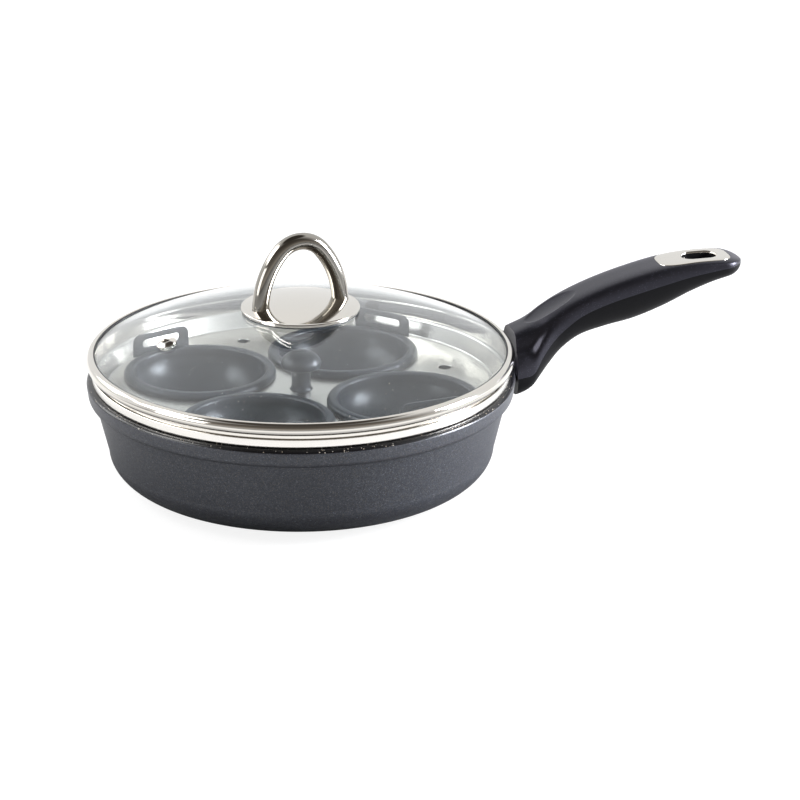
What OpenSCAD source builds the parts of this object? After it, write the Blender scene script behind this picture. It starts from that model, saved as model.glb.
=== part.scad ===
// Egg poacher pan: a cast pan with a two-part handle, a steel insert tray that
// holds four egg cups round a lifting knob, and a glass lid in a steel band.
// The origin is the centre of the pan's base, +X runs along the handle, +Z is up.

/* [Pan] */
// Diameter over the rim band
pan_rim_d = 252; // [240:1:280]
// Height of the lip on which the tray rests
pan_h = 63; // [58:0.5:80]
// Height of the straight face of the rim band
band_h = 8; // [5:0.5:12]
// How far the wall steps in under the rim band
band_step = 6.2; // [4:0.1:8]
// Height of the rounding from the band's face up to the lip
lip_rise = 2.3; // [1:0.1:4]
// Width of that rounding
lip_round = 3.4; // [2:0.1:5]
// Thickness of the side wall
wall_t = 3.4; // [2.5:0.1:4.5]
// Thickness of the floor
floor_t = 4.6; // [3.5:0.1:7]
// How far the side wall leans in from the band down to the corner
wall_lean = 6.7; // [3:0.1:10]
// Height of the rounded corner between wall and base
corner_h = 22.8; // [12:0.2:28]
// Width of that corner
corner_w = 33.9; // [15:0.1:40]
// Width of the lug that carries the handle
lug_w = 22; // [16:1:26]
// Height of the lug
lug_h = 10; // [8:0.5:11]
// Depth of the lug's top below the lip
lug_drop = 2; // [1.5:0.5:3]
// How far the lug reaches into the handle
lug_reach = 12; // [9:0.5:13]
// Diameter of the steel disc let into the base
base_disc_d = 150; // [100:1:155]
// Thickness of that disc
base_disc_t = 1.2; // [0.8:0.1:2]

/* [Handle] */
// Gap between the rim band and the handle's end face
handle_gap = 2; // [1:0.1:4]
// Length of the handle beyond that gap
handle_len = 142; // [125:1:180]
// Length of the handle's round end
tip_round = 9; // [6:0.5:12]
// Length of the steel inlay near the handle's end
inlay_len = 46.5; // [40:0.5:50]
// Width of the inlay
inlay_w = 18.6; // [17:0.2:20]
// Thickness of the inlay's plate
inlay_t = 1; // [0.6:0.1:1.5]
// How far the inlay stands proud of the grip
inlay_proud = 0.2; // [0:0.05:0.4]
// Distance from the handle's end to the inlay
inlay_inset = 8.2; // [7:0.2:12]
// Length of the hanging hole
hang_len = 19.5; // [18:0.5:24]
// Width of the hanging hole
hang_w = 13; // [9:0.5:13.5]
// Distance from the inlay's round end to the hanging hole
hang_inset = 7.4; // [6:0.2:9]
// Wall of the hanging hole's steel liner
liner_t = 0.8; // [0.5:0.1:1.2]
// Depth of the thumb hollow on top of the handle's neck
thumb_depth = 1.1; // [0.3:0.1:1.5]
// Diameter of the screw that holds the handle to the lug
handle_screw_d = 5; // [4:0.5:6]

/* [Tray] */
// Depth of the tray's plate below the lip
tray_depth = 10.5; // [8:0.1:13]
// Thickness of the tray's sheet steel
tray_t = 0.8; // [0.5:0.1:1.2]
// Gap all round between the tray's wall and the pan's wall
tray_gap = 0.8; // [0.5:0.1:1.5]
// Outer diameter of the upright collar that surrounds the lid's skirt
collar_d = 244.4; // [236:0.2:246]
// Height of that collar
collar_h = 5.4; // [4:0.1:7]
// Radius of the tray's pressed bends, on the inside
tray_bend = 1.6; // [1:0.1:2.5]
// Diameter of the four steam holes
steam_d = 7.7; // [6:0.1:9]
// Distance from the pan's axis to the steam holes
steam_ring_r = 92; // [88:0.5:96]
// Height of the lifting knob above the plate
knob_h = 23; // [18:0.5:28]
// Diameter of the knob's cap
knob_cap_d = 23.6; // [18:0.2:26]
// Height of the domed top of the cap
knob_dome_h = 7.4; // [5:0.1:9]
// Diameter of the knob's stem at its waist
knob_stem_d = 11.3; // [9:0.1:13]
// Diameter of the screw that holds the knob
knob_screw_d = 4; // [3:0.5:5]

/* [Egg cups] */
// Distance from the pan's axis to each cup's axis
cup_ring_r = 64.6; // [64:0.1:66]
// Direction of the first cup, counted from the handle
cup_turn = 53.6; // [0:0.2:90]
// Outer diameter of a cup's rolled rim
cup_rim_d = 89.6; // [84:0.1:90]
// Height of the rim above the tray
cup_rim_h = 3.9; // [3:0.1:5]
// Width of the rim, from the bowl to its outer edge
cup_rim_w = 5.8; // [4.5:0.1:7]
// Depth of the bowl below the rim's top
cup_depth = 27.5; // [20:0.5:32]
// Thickness of a cup's sheet metal
cup_t = 1.2; // [0.8:0.1:1.6]
// Width of a cup's lifting tab
tab_w = 39; // [30:0.5:42]
// Height of the tab above the tray
tab_h = 15.6; // [13:0.1:17]
// Distance from a cup's axis to its tab
tab_r = 42; // [41:0.1:42.5]
// Thickness of the tab
tab_t = 1.6; // [1:0.1:2]
// Radius of the tab's upper corners
tab_corner_r = 5; // [2:0.5:7]
// Length of the slot in the tab
slot_len = 26; // [18:0.5:30]
// Height of that slot
slot_h = 5; // [4.6:0.1:6]
// Distance from the tab's top down to the middle of the slot
slot_drop = 5.8; // [5:0.1:7]
// Directions of the four tabs as the cups lie in the tray
tab_turns = [41, 106, 255, 277];

/* [Lid] */
// Diameter over the band's outer roll
lid_d = 250.4; // [244:0.2:256]
// Height of the roll
roll_h = 7.7; // [6:0.1:9]
// Gap between the collar's top and the roll's underside
roll_gap = 2.5; // [1:0.1:4]
// Thickness of the band's sheet steel
lid_band_t = 0.7; // [0.4:0.1:1]
// Gap between the lid's skirt and the tray's collar
skirt_gap = 0.4; // [0.3:0.1:1]
// Width of the part of the glass that the band covers
band_cover = 7.6; // [6:0.1:9]
// Height of the glass dome from the band's inner edge to its top
dome_h = 25.6; // [18:0.2:32]
// Thickness of the glass
glass_t = 3.5; // [3:0.1:4]
// Thickness of the sealing strip on the glass under the band
seal_t = 0.4; // [0.3:0.1:0.8]
// Diameter of the polished mounting plate on top
plate_d = 69.4; // [60:0.2:76]
// How far the plate's dome rises
plate_rise = 4; // [2:0.1:6]
// Height of the plate's turned-down edge
plate_edge = 1.6; // [1:0.1:3]
// Thickness of the plate's sheet steel
plate_t = 1.1; // [0.8:0.1:1.5]
// Thickness of the soft gasket between plate and glass, at the middle
gasket_t = 0.9; // [0.6:0.1:2]
// Diameter of the loop's round bar
loop_bar_d = 10; // [7:0.1:11]
// Distance between the middles of the loop's feet
loop_span = 49.6; // [44:0.2:50]
// Height of the loop above the plate's edge
loop_h = 44.6; // [38:0.2:50]
// Radius of the loop's top bend, along the bar's middle
loop_top_r = 16.8; // [13:0.1:18]
// Direction of the loop, counted from the handle
loop_turn = 8.5; // [0:0.5:90]
// Diameter of the lid's screw
lid_screw_d = 5; // [4:0.5:6]
// Distance from the lid's axis to the steam vent
vent_r = 81; // [60:0.5:95]
// Direction of the steam vent
vent_turn = 186.5; // [0:0.5:360]
// Diameter of the vent's steel eyelet
eyelet_d = 12.2; // [9:0.1:14]
// Diameter of the vent's hole
vent_d = 4; // [2.5:0.1:5]

/* [Hidden] */

$fn = 96;
eps = 0.01;
fit = 0.1;
screw_play = 0.3;
far = 400;

// Pan: radii and heights that the other pieces share
rim_r = pan_rim_d / 2;
band_top_z = pan_h - lip_rise;
band_low_z = band_top_z - band_h;
wall_top_r = rim_r - band_step;
wall_low_r = wall_top_r - wall_lean;
base_r = wall_low_r - corner_w;
bore_low_r = wall_top_r - wall_t;
bore_top_r = bore_low_r + 2.6;
lip_in_round = 0.8;
lug_top_z = band_top_z - lug_drop;
lug_mid_z = lug_top_z - lug_h / 2;

// Tray: heights from the lip down and up
plate_low_z = pan_h - tray_depth;
plate_z = plate_low_z + tray_t;
ledge_z = pan_h + tray_t;
collar_r = collar_d / 2;
collar_top_z = pan_h + collar_h;
tray_low_r = bore_low_r - tray_gap;
tray_top_r = bore_top_r - tray_gap;
collar_bend = tray_bend / 2;

// Lid: the skirt stands on the tray's ledge, and the glass springs from the roll
skirt_r = collar_r - tray_t - skirt_gap;
roll_r = roll_h / 2;
roll_mid_r = lid_d / 2 - roll_r;
roll_mid_z = collar_top_z + roll_gap + roll_r;
cover_r = lid_d / 2 - band_cover;
glass_edge_r = roll_mid_r - 1.3;
dome_foot_z = roll_mid_z + roll_r - lid_band_t - seal_t;
dome_r = (cover_r * cover_r + dome_h * dome_h) / (2 * dome_h);
dome_mid_z = dome_foot_z + dome_h - dome_r;
glass_top_z = dome_foot_z + dome_h;
plate_r = plate_d / 2;
mount_low_z = glass_top_z + gasket_t - 0.6;
plate_edge_z = mount_low_z + plate_edge;
plate_ball_r = (plate_r * plate_r + plate_rise * plate_rise) / (2 * plate_rise);
plate_ball_z = plate_edge_z + plate_rise - plate_ball_r;

// Points of an elliptical arc round (x, y), from angle a0 to a1
function arc(x, y, rx, ry, a0, a1, n) =
    [for (i = [0:n]) let (a = a0 + (a1 - a0) * i / n) [x + rx * cos(a), y + ry * sin(a)]];

// A flat strip of thickness t that follows a path: the path, then its offset side
function strip(path, side) = concat(path, [for (i = [len(path) - 1:-1:0]) side[i]]);

module rounded_rect(w, h, r) {
    square([w, h - 2 * r], center = true);
    square([w - 2 * r, h], center = true);
    for (x = [-1, 1], y = [-1, 1]) translate([x * (w / 2 - r), y * (h / 2 - r)]) circle(r);
}

// A slot with round ends, along X
module slot_shape(len, w) {
    square([len - w, w], center = true);
    for (x = [-1, 1]) translate([x * (len - w) / 2, 0]) circle(d = w);
}

// A screw that points up from the origin: head below, thread above, cross recess
module screw_up(d, len) {
    head_r = 0.85 * d;
    head_h = 0.5 * d;
    difference() {
        union() {
            cylinder(d = d, h = len);
            translate([0, 0, -head_h]) cylinder(r1 = head_r * 0.8, r2 = head_r, h = head_h);
        }
        for (a = [0, 90]) rotate(a) translate([0, 0, -head_h]) cube([d, d * 0.2, d * 0.4], center = true);
    }
}

// Pan body

// The outside, as one outline from the base's middle to the lip
module pan_outside() {
    rotate_extrude() polygon(concat(
        [[0, 0]],
        arc(base_r, corner_h, corner_w, corner_h, -90, 0, 14),
        [[wall_top_r, band_low_z - 1.2]],
        arc(wall_top_r + 1.2, band_low_z - 1.2, 1.2, 1.2, 180, 90, 3),
        arc(rim_r - 0.6, band_low_z + 0.6, 0.6, 0.6, -90, 0, 3),
        arc(rim_r - lip_round, band_top_z, lip_round, lip_rise, 0, 90, 6),
        [[0, pan_h]]));
}

// The inside, which also cuts the lug off flush with the wall
module pan_inside() {
    rotate_extrude() polygon(concat(
        [[0, floor_t]],
        arc(base_r, corner_h, corner_w - wall_t, corner_h - floor_t, -90, 0, 12),
        [[bore_low_r, band_low_z]],
        [[bore_top_r, pan_h - lip_in_round]],
        arc(bore_top_r + lip_in_round, pan_h - lip_in_round, lip_in_round, lip_in_round, 180, 90, 3),
        [[bore_top_r + lip_in_round, pan_h + 5]],
        [[0, pan_h + 5]]));
}

// The block that the handle slips over, from the pan's axis side outwards
module lug(grow) {
    translate([bore_low_r, 0, lug_mid_z]) rotate([90, 0, 90])
        linear_extrude(root_x + lug_reach + grow - bore_low_r)
            rounded_rect(lug_w + 2 * grow, lug_h + 2 * grow, 2 + grow);
}

module pan_body() {
    color("#4a4c53") difference() {
        union() {
            pan_outside();
            lug(0);
        }
        pan_inside();
        translate([0, 0, -eps]) cylinder(d = base_disc_d + 2 * fit, h = base_disc_t + eps);
        translate([screw_x, 0, lug_mid_z - lug_h]) cylinder(d = handle_screw_d + 2 * fit, h = 2 * lug_h - 2.5);
    }
}

// A flat disc with the ring of small holes that keys it into the casting
module base_disc() {
    color("#b9b9b6") difference() {
        cylinder(d = base_disc_d, h = base_disc_t);
        for (ring = [0.3, 0.42], a = [0:30:330]) rotate(a + ring * 100)
            translate([ring * base_disc_d, 0, -1]) cylinder(d = 4, h = base_disc_t + 2);
    }
}

// Handle

// Where the handle starts, and where its screw stands
root_x = rim_r + handle_gap;
screw_x = root_x + lug_reach / 2 + 0.5;
tip_x = root_x + handle_len;
seat_z = lug_mid_z - lug_h / 2 - screw_play - 2.6;
// Stations along the handle: share of its length, then heights above the lip of
// the top, the seam and the underside, then half the width
handle_form = [
    [-0.04,  19,   -8,   -23,   21.4],
    [ 0.01,  20.2, -7.2, -22,   21],
    [ 0.06,  23.6, -5.5, -18.5, 19.7],
    [ 0.10,  26.6,  3,   -13.2, 17.6],
    [ 0.14,  29.6,  10,  -6.6,  15.6],
    [ 0.20,  33.8,  17.6, 2.6,  14.3],
    [ 0.28,  38.8,  25.4, 10,   13.9],
    [ 0.39,  44.2,  31.5, 14.2, 14.4],
    [ 0.52,  49.2,  36.5, 17.8, 15],
    [ 0.65,  52.9,  41,   24.2, 15],
    [ 0.76,  54.3,  44.4, 31.4, 14.7],
    [ 0.86,  54.1,  46.4, 36.8, 14.2],
    [ 0.94,  52.8,  47.6, 39.6, 13.4],
    [ 1.00,  51.4,  48.2, 40.6, 12.6]];
handle_rings = 52;
handle_sides = 24;

// Slope of column c at row i, and the cubic that runs through all rows
function slope(t, i, c) = let (a = max(i - 1, 0), b = min(i + 1, len(t) - 1))
    (t[b][c] - t[a][c]) / (t[b][0] - t[a][0]);
function row_at(t, u, i = 0) = i < len(t) - 2 && u > t[i + 1][0] ? row_at(t, u, i + 1) : i;
function along(t, u, c) = let (
    i = row_at(t, u), w = t[i + 1][0] - t[i][0], s = (u - t[i][0]) / w,
    s2 = s * s, s3 = s2 * s)
    t[i][c] * (2 * s3 - 3 * s2 + 1) + t[i + 1][c] * (3 * s2 - 2 * s3)
    + w * (slope(t, i, c) * (s3 - 2 * s2 + s) + slope(t, i + 1, c) * (s3 - s2));

// Sine and cosine bent towards a squarer section, with exponent p
function bent(v, p) = sign(v) * pow(abs(v), p);
// Hollow between the flared end and the spine, at angle a on the upper side
function flare_hollow(u, a) = 2.6 * exp(-pow((u - 0.045) / 0.05, 2))
    * (exp(-pow((a - 48) / 17, 2)) + exp(-pow((a - 132) / 17, 2)));
// Almond hollow for the thumb
function thumb_hollow(u, y) = thumb_depth
    * pow(max(0, 1 - pow((u - 0.155) / 0.115, 2) - pow(y / 5.5, 2)), 0.7);
// How much a section has closed towards the handle's round end
function closing(x) = x <= tip_x - tip_round ? 1
    : sqrt(max(0.0004, 1 - pow((x - tip_x + tip_round) / tip_round, 2)));

// One point of the section at x, at angle a, grown outwards by g
function handle_point(x, a, g) = let (
    u = (x - root_x) / handle_len, k = closing(x),
    top = along(handle_form, u, 1), seam = along(handle_form, u, 2),
    low = along(handle_form, u, 3), half = along(handle_form, u, 4),
    p = 0.86, up = sin(a) >= 0,
    y = (half + g) * k * bent(cos(a), p),
    rise = (up ? top - seam : seam - low) + g,
    z = seam + rise * k * bent(sin(a), p),
    dent = up ? flare_hollow(u, a) : 0)
    [x, y - dent * cos(a), pan_h + z - dent * sin(a) - (up ? thumb_hollow(u, y) : 0)];

// Places of the rings: even along the handle, closer together at its round end
ring_x0 = root_x - 0.035 * handle_len;
grip_rings = concat(
    [for (i = [0:handle_rings]) ring_x0 + (tip_x - tip_round - ring_x0) * i / handle_rings],
    [for (a = [7.5:7.5:90]) tip_x - tip_round + tip_round * sin(a)]);

// The solid between two angles of every section, closed by a flat seam face
module handle_loft(a0, a1, g, rings = grip_rings) {
    m = handle_sides;
    n = len(rings) - 1;
    pts = [for (x = rings, j = [0:m]) handle_point(x, a0 + (a1 - a0) * j / m, g)];
    function at(i, j) = i * (m + 1) + j;
    skin = [for (i = [0:n - 1], j = [0:m - 1], k = [0, 1])
        k == 0 ? [at(i, j), at(i + 1, j), at(i, j + 1)] : [at(i + 1, j), at(i + 1, j + 1), at(i, j + 1)]];
    seam = [for (i = [0:n - 1], k = [0, 1])
        k == 0 ? [at(i, m), at(i + 1, m), at(i, 0)] : [at(i + 1, m), at(i + 1, 0), at(i, 0)]];
    ends = [[for (j = [0:m]) at(0, j)], [for (j = [m:-1:0]) at(n, j)]];
    polyhedron(pts, concat(skin, seam, ends), convexity = 4);
}

// The plan of the inlay: a drop with its point towards the pan
inlay_x1 = tip_x - inlay_inset;
hang_x = inlay_x1 - hang_inset - hang_len / 2;
inlay_rings = [for (x = grip_rings) if (x > inlay_x1 - inlay_len - 5) x];
module inlay_plan(grow) {
    r = inlay_w / 2;
    body_len = inlay_len * 0.62;
    translate([inlay_x1, 0]) polygon(concat(
        arc(-5, r - 5, 5 + grow, 5 + grow, 0, 90, 6),
        arc(-body_len, 0, inlay_len - body_len + grow, r + grow, 90, 270, 24),
        arc(-5, 5 - r, 5 + grow, 5 + grow, 270, 360, 6)));
}

// Everything that the two grip halves leave free
module handle_cuts() {
    translate([0, 0, -far / 2]) cylinder(r = root_x, h = far, $fn = 180);
    lug(screw_play);
    translate([screw_x, 0, 0]) cylinder(d = handle_screw_d + 2 * screw_play, h = lug_mid_z);
    translate([screw_x, 0, 0]) cylinder(r = 0.85 * handle_screw_d + screw_play, h = seat_z);
    translate([hang_x, 0, 0]) linear_extrude(far) slot_shape(hang_len + 2 * liner_t, hang_w + 2 * liner_t);
}

module handle_lower() {
    color("#17171a") difference() {
        handle_loft(180, 360, 0);
        handle_cuts();
    }
}

module handle_upper() {
    color("#26262b") difference() {
        handle_loft(0, 180, 0);
        handle_cuts();
        difference() {
            translate([0, 0, pan_h]) linear_extrude(far) inlay_plan(fit);
            handle_loft(0, 180, -inlay_t + inlay_proud, inlay_rings);
        }
    }
}

// The inlay's plate follows the grip, and its liner goes down through the handle
module handle_inlay() {
    color("#dcdcdc") difference() {
        union() {
            intersection() {
                handle_loft(0, 180, inlay_proud, inlay_rings);
                translate([0, 0, pan_h]) linear_extrude(far) inlay_plan(0);
            }
            intersection() {
                handle_loft(180, 360, 0, inlay_rings);
                translate([hang_x, 0, 0]) linear_extrude(far)
                    slot_shape(hang_len + 2 * liner_t, hang_w + 2 * liner_t);
            }
        }
        difference() {
            handle_loft(0, 180, -inlay_t + inlay_proud, inlay_rings);
            translate([hang_x, 0, 0]) linear_extrude(far)
                slot_shape(hang_len + 2 * liner_t, hang_w + 2 * liner_t);
        }
        translate([hang_x, 0, 0]) linear_extrude(far) slot_shape(hang_len, hang_w);
    }
}

module handle_screw() {
    color("#9a9a9a") translate([screw_x, 0, seat_z])
        screw_up(handle_screw_d, lug_mid_z + 2 - seat_z);
}

// Tray

// Middles of the cups and of the steam holes, a quarter turn apart
function cup_dir(k) = cup_turn + 90 * k;
function steam_dir(k) = cup_turn - 45 + 90 * k;

// The pressed sheet: plate, wall, ledge on the pan's lip, and collar round the lid
module tray_sheet() {
    b = tray_bend;
    t = tray_t;
    lean = atan2(tray_top_r - tray_low_r, tray_depth - t);
    low_x = tray_low_r - b - t;
    top_x = tray_top_r + b;
    c = collar_bend;
    ledge_x = collar_r - t - c;
    upper = concat([[0, plate_z]], arc(low_x, plate_z + b, b, b, -90, -lean, 5),
        arc(top_x, ledge_z - b - t, b + t, b + t, 180 - lean, 90, 5),
        arc(ledge_x, ledge_z + c, c, c, -90, 0, 5), [[collar_r - t, collar_top_z]]);
    lower = concat([[0, plate_low_z]], arc(low_x, plate_z + b, b + t, b + t, -90, -lean, 5),
        arc(top_x, ledge_z - b - t, b, b, 180 - lean, 90, 5),
        arc(ledge_x, ledge_z + c, c + t, c + t, -90, 0, 5), [[collar_r, collar_top_z]]);
    rotate_extrude() polygon(strip(upper, lower));
}

module tray_plate() {
    color("#c9c9c6") difference() {
        tray_sheet();
        for (k = [0:3]) {
            rotate(cup_dir(k)) translate([cup_ring_r, 0, 0]) cylinder(r = cup_hole_r, h = pan_h);
            rotate(steam_dir(k)) translate([steam_ring_r, 0, 0]) cylinder(d = steam_d, h = pan_h);
        }
        cylinder(d = knob_screw_d + 2 * fit, h = pan_h);
    }
}

// A mushroom knob: domed cap, hollow underside curve, waisted stem
module tray_knob() {
    cap_r = knob_cap_d / 2;
    stem_r = knob_stem_d / 2;
    cap_z = knob_h - knob_dome_h;
    color("#5a5d63") translate([0, 0, plate_z]) difference() {
        rotate_extrude() polygon(concat(
            [[0, 0], [stem_r + 0.4, 0]],
            arc(stem_r + 9.2, cap_z - 8.2, 9.2, 9.2, 180, 146, 5),
            arc(cap_r - 1.6, cap_z - 0.9, 1.6, 1.6, -70, 0, 4),
            arc(0, cap_z, cap_r, knob_dome_h, 4, 90, 12)));
        translate([0, 0, -eps]) cylinder(d = knob_screw_d + 2 * fit, h = knob_h / 2 + 1);
    }
}

washer_t = 1;
module knob_washer() {
    color("#b9b9b6") translate([0, 0, plate_low_z - washer_t]) difference() {
        cylinder(d = 3 * knob_screw_d, h = washer_t);
        translate([0, 0, -1]) cylinder(d = knob_screw_d + 2 * fit, h = washer_t + 2);
    }
}

module knob_screw() {
    color("#9a9a9a") translate([0, 0, plate_low_z - washer_t])
        screw_up(knob_screw_d, washer_t + tray_t + knob_h / 2);
}

// Egg cups

cup_rim_r = cup_rim_d / 2;
cup_bowl_r = cup_rim_r - cup_rim_w;
cup_hole_r = cup_bowl_r + cup_t + 0.9;

// The bowl and its rolled rim are one sheet: inside line, then outside line
module cup_bowl() {
    roll = cup_rim_h - 1.2;
    lip = cup_rim_h - 0.6;
    bowl_h = cup_depth - 1.4;
    inside = concat(
        arc(0, lip - 0.8, cup_bowl_r - 0.4, bowl_h, -90, -8, 14),
        arc(cup_bowl_r + 1.4, lip - 1.2, 1.8, 1.8, 170, 100, 4),
        arc(cup_rim_r - 2.6, cup_rim_h - 2.6, 2.6, 2.6, 80, 0, 6),
        [[cup_rim_r, 0], [cup_rim_r - cup_t, 0]]);
    outside = concat(
        arc(cup_rim_r - 2.6, cup_rim_h - 2.6, 2.6 - cup_t, 2.6 - cup_t, 0, 80, 4),
        [[cup_bowl_r + 1.6, lip - cup_t]],
        arc(0, lip - 0.8, cup_bowl_r - 0.4 + cup_t, bowl_h + cup_t, -8, -90, 14));
    rotate_extrude() polygon(concat(inside, outside));
}

// The upright tab with its slot, seen along the line from the cup's axis
module cup_tab() {
    foot = cup_rim_h - cup_t;
    h = tab_h - foot;
    translate([tab_r + tab_t / 2, 0, foot]) rotate([90, 0, -90]) linear_extrude(tab_t) difference() {
        translate([0, h / 2]) union() {
            rounded_rect(tab_w, h, tab_corner_r);
            translate([0, -h / 4]) square([tab_w, h / 2], center = true);
        }
        translate([0, h - slot_drop]) slot_shape(slot_len, slot_h);
    }
}

module cup(k) {
    color("#565a61") translate([cup_ring_r * cos(cup_dir(k)), cup_ring_r * sin(cup_dir(k)), plate_z]) union() {
        cup_bowl();
        rotate(tab_turns[k]) cup_tab();
    }
}

module cup_1() { cup(0); }
module cup_2() { cup(1); }
module cup_3() { cup(2); }
module cup_4() { cup(3); }

// Lid

// Places its children on the dome, over the vent, with the dome's slope
module at_vent() {
    translate([0, 0, dome_mid_z]) rotate([0, asin(vent_r / dome_r), vent_turn])
        translate([0, 0, dome_r]) children();
}

// Points on the dome, or on a ball inside it by shrink, from radius r0 to r1
function dome_line(shrink, r0, r1, n) = [for (i = [0:n]) let (r = r0 + (r1 - r0) * i / n)
    [r, dome_mid_z + sqrt(pow(dome_r - shrink, 2) - r * r)]];

module lid_glass() {
    color([0.85, 0.93, 0.92, 0.35]) difference() {
        rotate_extrude() polygon(concat(
            dome_line(0, 0, glass_edge_r, 24), dome_line(glass_t, glass_edge_r, 0, 24)));
        cylinder(d = lid_screw_d + 2, h = far);
        at_vent() translate([0, 0, -3 * glass_t]) cylinder(d = eyelet_tube_d + 2 * fit, h = 6 * glass_t);
    }
}

// The band: a lip on the glass, an outer roll round its edge, and the skirt below
module lid_band() {
    t = lid_band_t;
    lip_z = dome_foot_z + seal_t + t;
    skirt_z = ledge_z;
    foot_h = 0.6;
    foot_w = 0.4;
    turn = 1.2;
    outer = concat([[cover_r, lip_z - 0.3 * t], [cover_r + 0.5, lip_z + 0.1]],
        arc(roll_mid_r, roll_mid_z, roll_r, roll_r, 100, -62, 18),
        arc(skirt_r + turn, roll_mid_z - roll_r - 0.4, turn, turn, 120, 180, 4),
        [[skirt_r, skirt_z + foot_h], [skirt_r - foot_w, skirt_z]]);
    inner = concat([[cover_r, lip_z - t], [cover_r + 0.5, lip_z - t]],
        arc(roll_mid_r, roll_mid_z, roll_r - t, roll_r - t, 100, -62, 18),
        arc(skirt_r + turn, roll_mid_z - roll_r - 0.4, turn + t, turn + t, 120, 180, 4),
        [[skirt_r - t, skirt_z + foot_h], [skirt_r - t, skirt_z]]);
    color("#d6d4cf") rotate_extrude() polygon(strip(outer, inner));
}

// The sealing strip folds round the glass's edge, inside the band
module lid_seal() {
    c = seal_t + fit / 4;
    low_r = glass_edge_r - 2;
    color("#2e2e30") rotate_extrude() polygon(concat(
        dome_line(-c, cover_r + 0.2, glass_edge_r + c, 3),
        dome_line(glass_t + c, glass_edge_r + c, low_r, 3),
        dome_line(glass_t + fit / 4, low_r, glass_edge_r + fit / 4, 3),
        dome_line(-fit / 4, glass_edge_r + fit / 4, cover_r + 0.2, 3)));
}

// A shallow pressed dome with its edge turned down, a tapped boss inside, and two
// holes that take the loop's feet
module lid_plate() {
    boss_z = glass_top_z + gasket_t;
    boss_top_z = plate_edge_z + plate_rise - plate_t / 2;
    color("#dadada") difference() {
        union() {
            difference() {
                rotate_extrude() polygon(concat([[0, mount_low_z], [plate_r, mount_low_z]],
                    plate_line(0, plate_r, 0)));
                rotate_extrude() polygon(concat([[0, mount_low_z - 1], [plate_r - plate_t, mount_low_z - 1]],
                    plate_line(plate_t, plate_r - plate_t, 0)));
            }
            translate([0, 0, boss_z]) cylinder(r = lid_screw_d, h = boss_top_z - boss_z);
        }
        cylinder(d = lid_screw_d + 2 * fit, h = boss_top_z - plate_t);
        rotate(loop_turn) for (s = [-1, 1]) translate([s * loop_span / 2, 0, 0])
            cylinder(d = loop_bar_d + fit, h = far);
    }
}
// Points on the plate's dome, or on a ball inside it by shrink, from r0 to r1
function plate_line(shrink, r0, r1) = [for (i = [0:16]) let (r = r0 + (r1 - r0) * i / 16)
    [r, plate_ball_z + sqrt(pow(plate_ball_r - shrink, 2) - r * r)]];

// The loop's bar: a top bend, and two wider bends that end upright in the feet
loop_bend = 50;
loop_side_r = (loop_span / 2 - loop_top_r * sin(loop_bend)) / (1 - sin(loop_bend));
loop_top_z = plate_edge_z + loop_h - loop_bar_d / 2 - loop_top_r;
loop_foot_z = loop_top_z - (loop_side_r - loop_top_r) * cos(loop_bend);
loop_end_z = glass_top_z + gasket_t + 0.4;
// The top bend runs this many degrees into the side bends, a hair thinner than they are
loop_lap = 0.7;
module loop_bar(r, a0, a1, bar_d) {
    rotate([90, 0, 0]) rotate([0, 0, a0]) rotate_extrude(angle = a1 - a0)
        translate([r, 0]) circle(d = bar_d);
}

module lid_loop() {
    color("#e2e0dc") rotate(loop_turn) union() {
        translate([0, 0, loop_top_z])
            loop_bar(loop_top_r, 90 - loop_bend - loop_lap, 90 + loop_bend + loop_lap, loop_bar_d - 2 * eps);
        for (s = [0, 180]) rotate(s)
            translate([-(loop_side_r - loop_top_r) * sin(loop_bend), 0, loop_foot_z]) {
                loop_bar(loop_side_r, 0, 90 - loop_bend, loop_bar_d);
                translate([loop_side_r, 0, loop_end_z - loop_foot_z])
                    cylinder(d = loop_bar_d, h = loop_foot_z - loop_end_z);
            }
    }
}

// The soft gasket fills the gap between the flat plate and the round glass
module lid_gasket() {
    bore_r = lid_screw_d / 2 + fit;
    step_r = plate_r - plate_t - 0.6;
    top_z = glass_top_z + gasket_t;
    color("#2a2a2c") rotate_extrude() polygon(concat(
        [[bore_r, top_z], [step_r, top_z], [step_r, mount_low_z], [plate_r - 0.5, mount_low_z]],
        dome_line(-fit / 4, plate_r - 0.5, bore_r, 7)));
}

lid_washer_z = dome_mid_z + dome_r - glass_t - 1.6;
module lid_washer() {
    bore_r = lid_screw_d / 2 + fit;
    washer_r = 2.4 * lid_screw_d;
    color("#3a3a3c") rotate_extrude() polygon(concat(
        [[washer_r, lid_washer_z], [bore_r, lid_washer_z]],
        dome_line(glass_t + fit / 4, bore_r, washer_r, 3)));
}

module lid_screw() {
    color("#b4b4b4") translate([0, 0, lid_washer_z])
        screw_up(lid_screw_d, plate_edge_z + plate_rise - 2.5 * plate_t - lid_washer_z);
}

// A steel eyelet through the glass, with a rounded flange on each side
eyelet_tube_d = vent_d + 3;
module vent_eyelet() {
    r = eyelet_d / 2;
    sag = dome_r - sqrt(dome_r * dome_r - r * r);
    low_z = -glass_t - sag - fit / 2;
    color("#cfcfcd") at_vent() rotate_extrude() polygon(concat(
        [[vent_d / 2, low_z - 0.6], [vent_d / 2, 0.9]],
        arc(vent_d / 2 + 0.9, 1.4, 0.9, 0.9, 180, 60, 4),
        arc(r - 0.5, fit / 2 + 0.5, 0.5, 0.5, 60, -90, 5),
        [[eyelet_tube_d / 2, fit / 2], [eyelet_tube_d / 2, low_z], [r - 0.8, low_z], [r - 1.2, low_z - 0.6]]));
}

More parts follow.
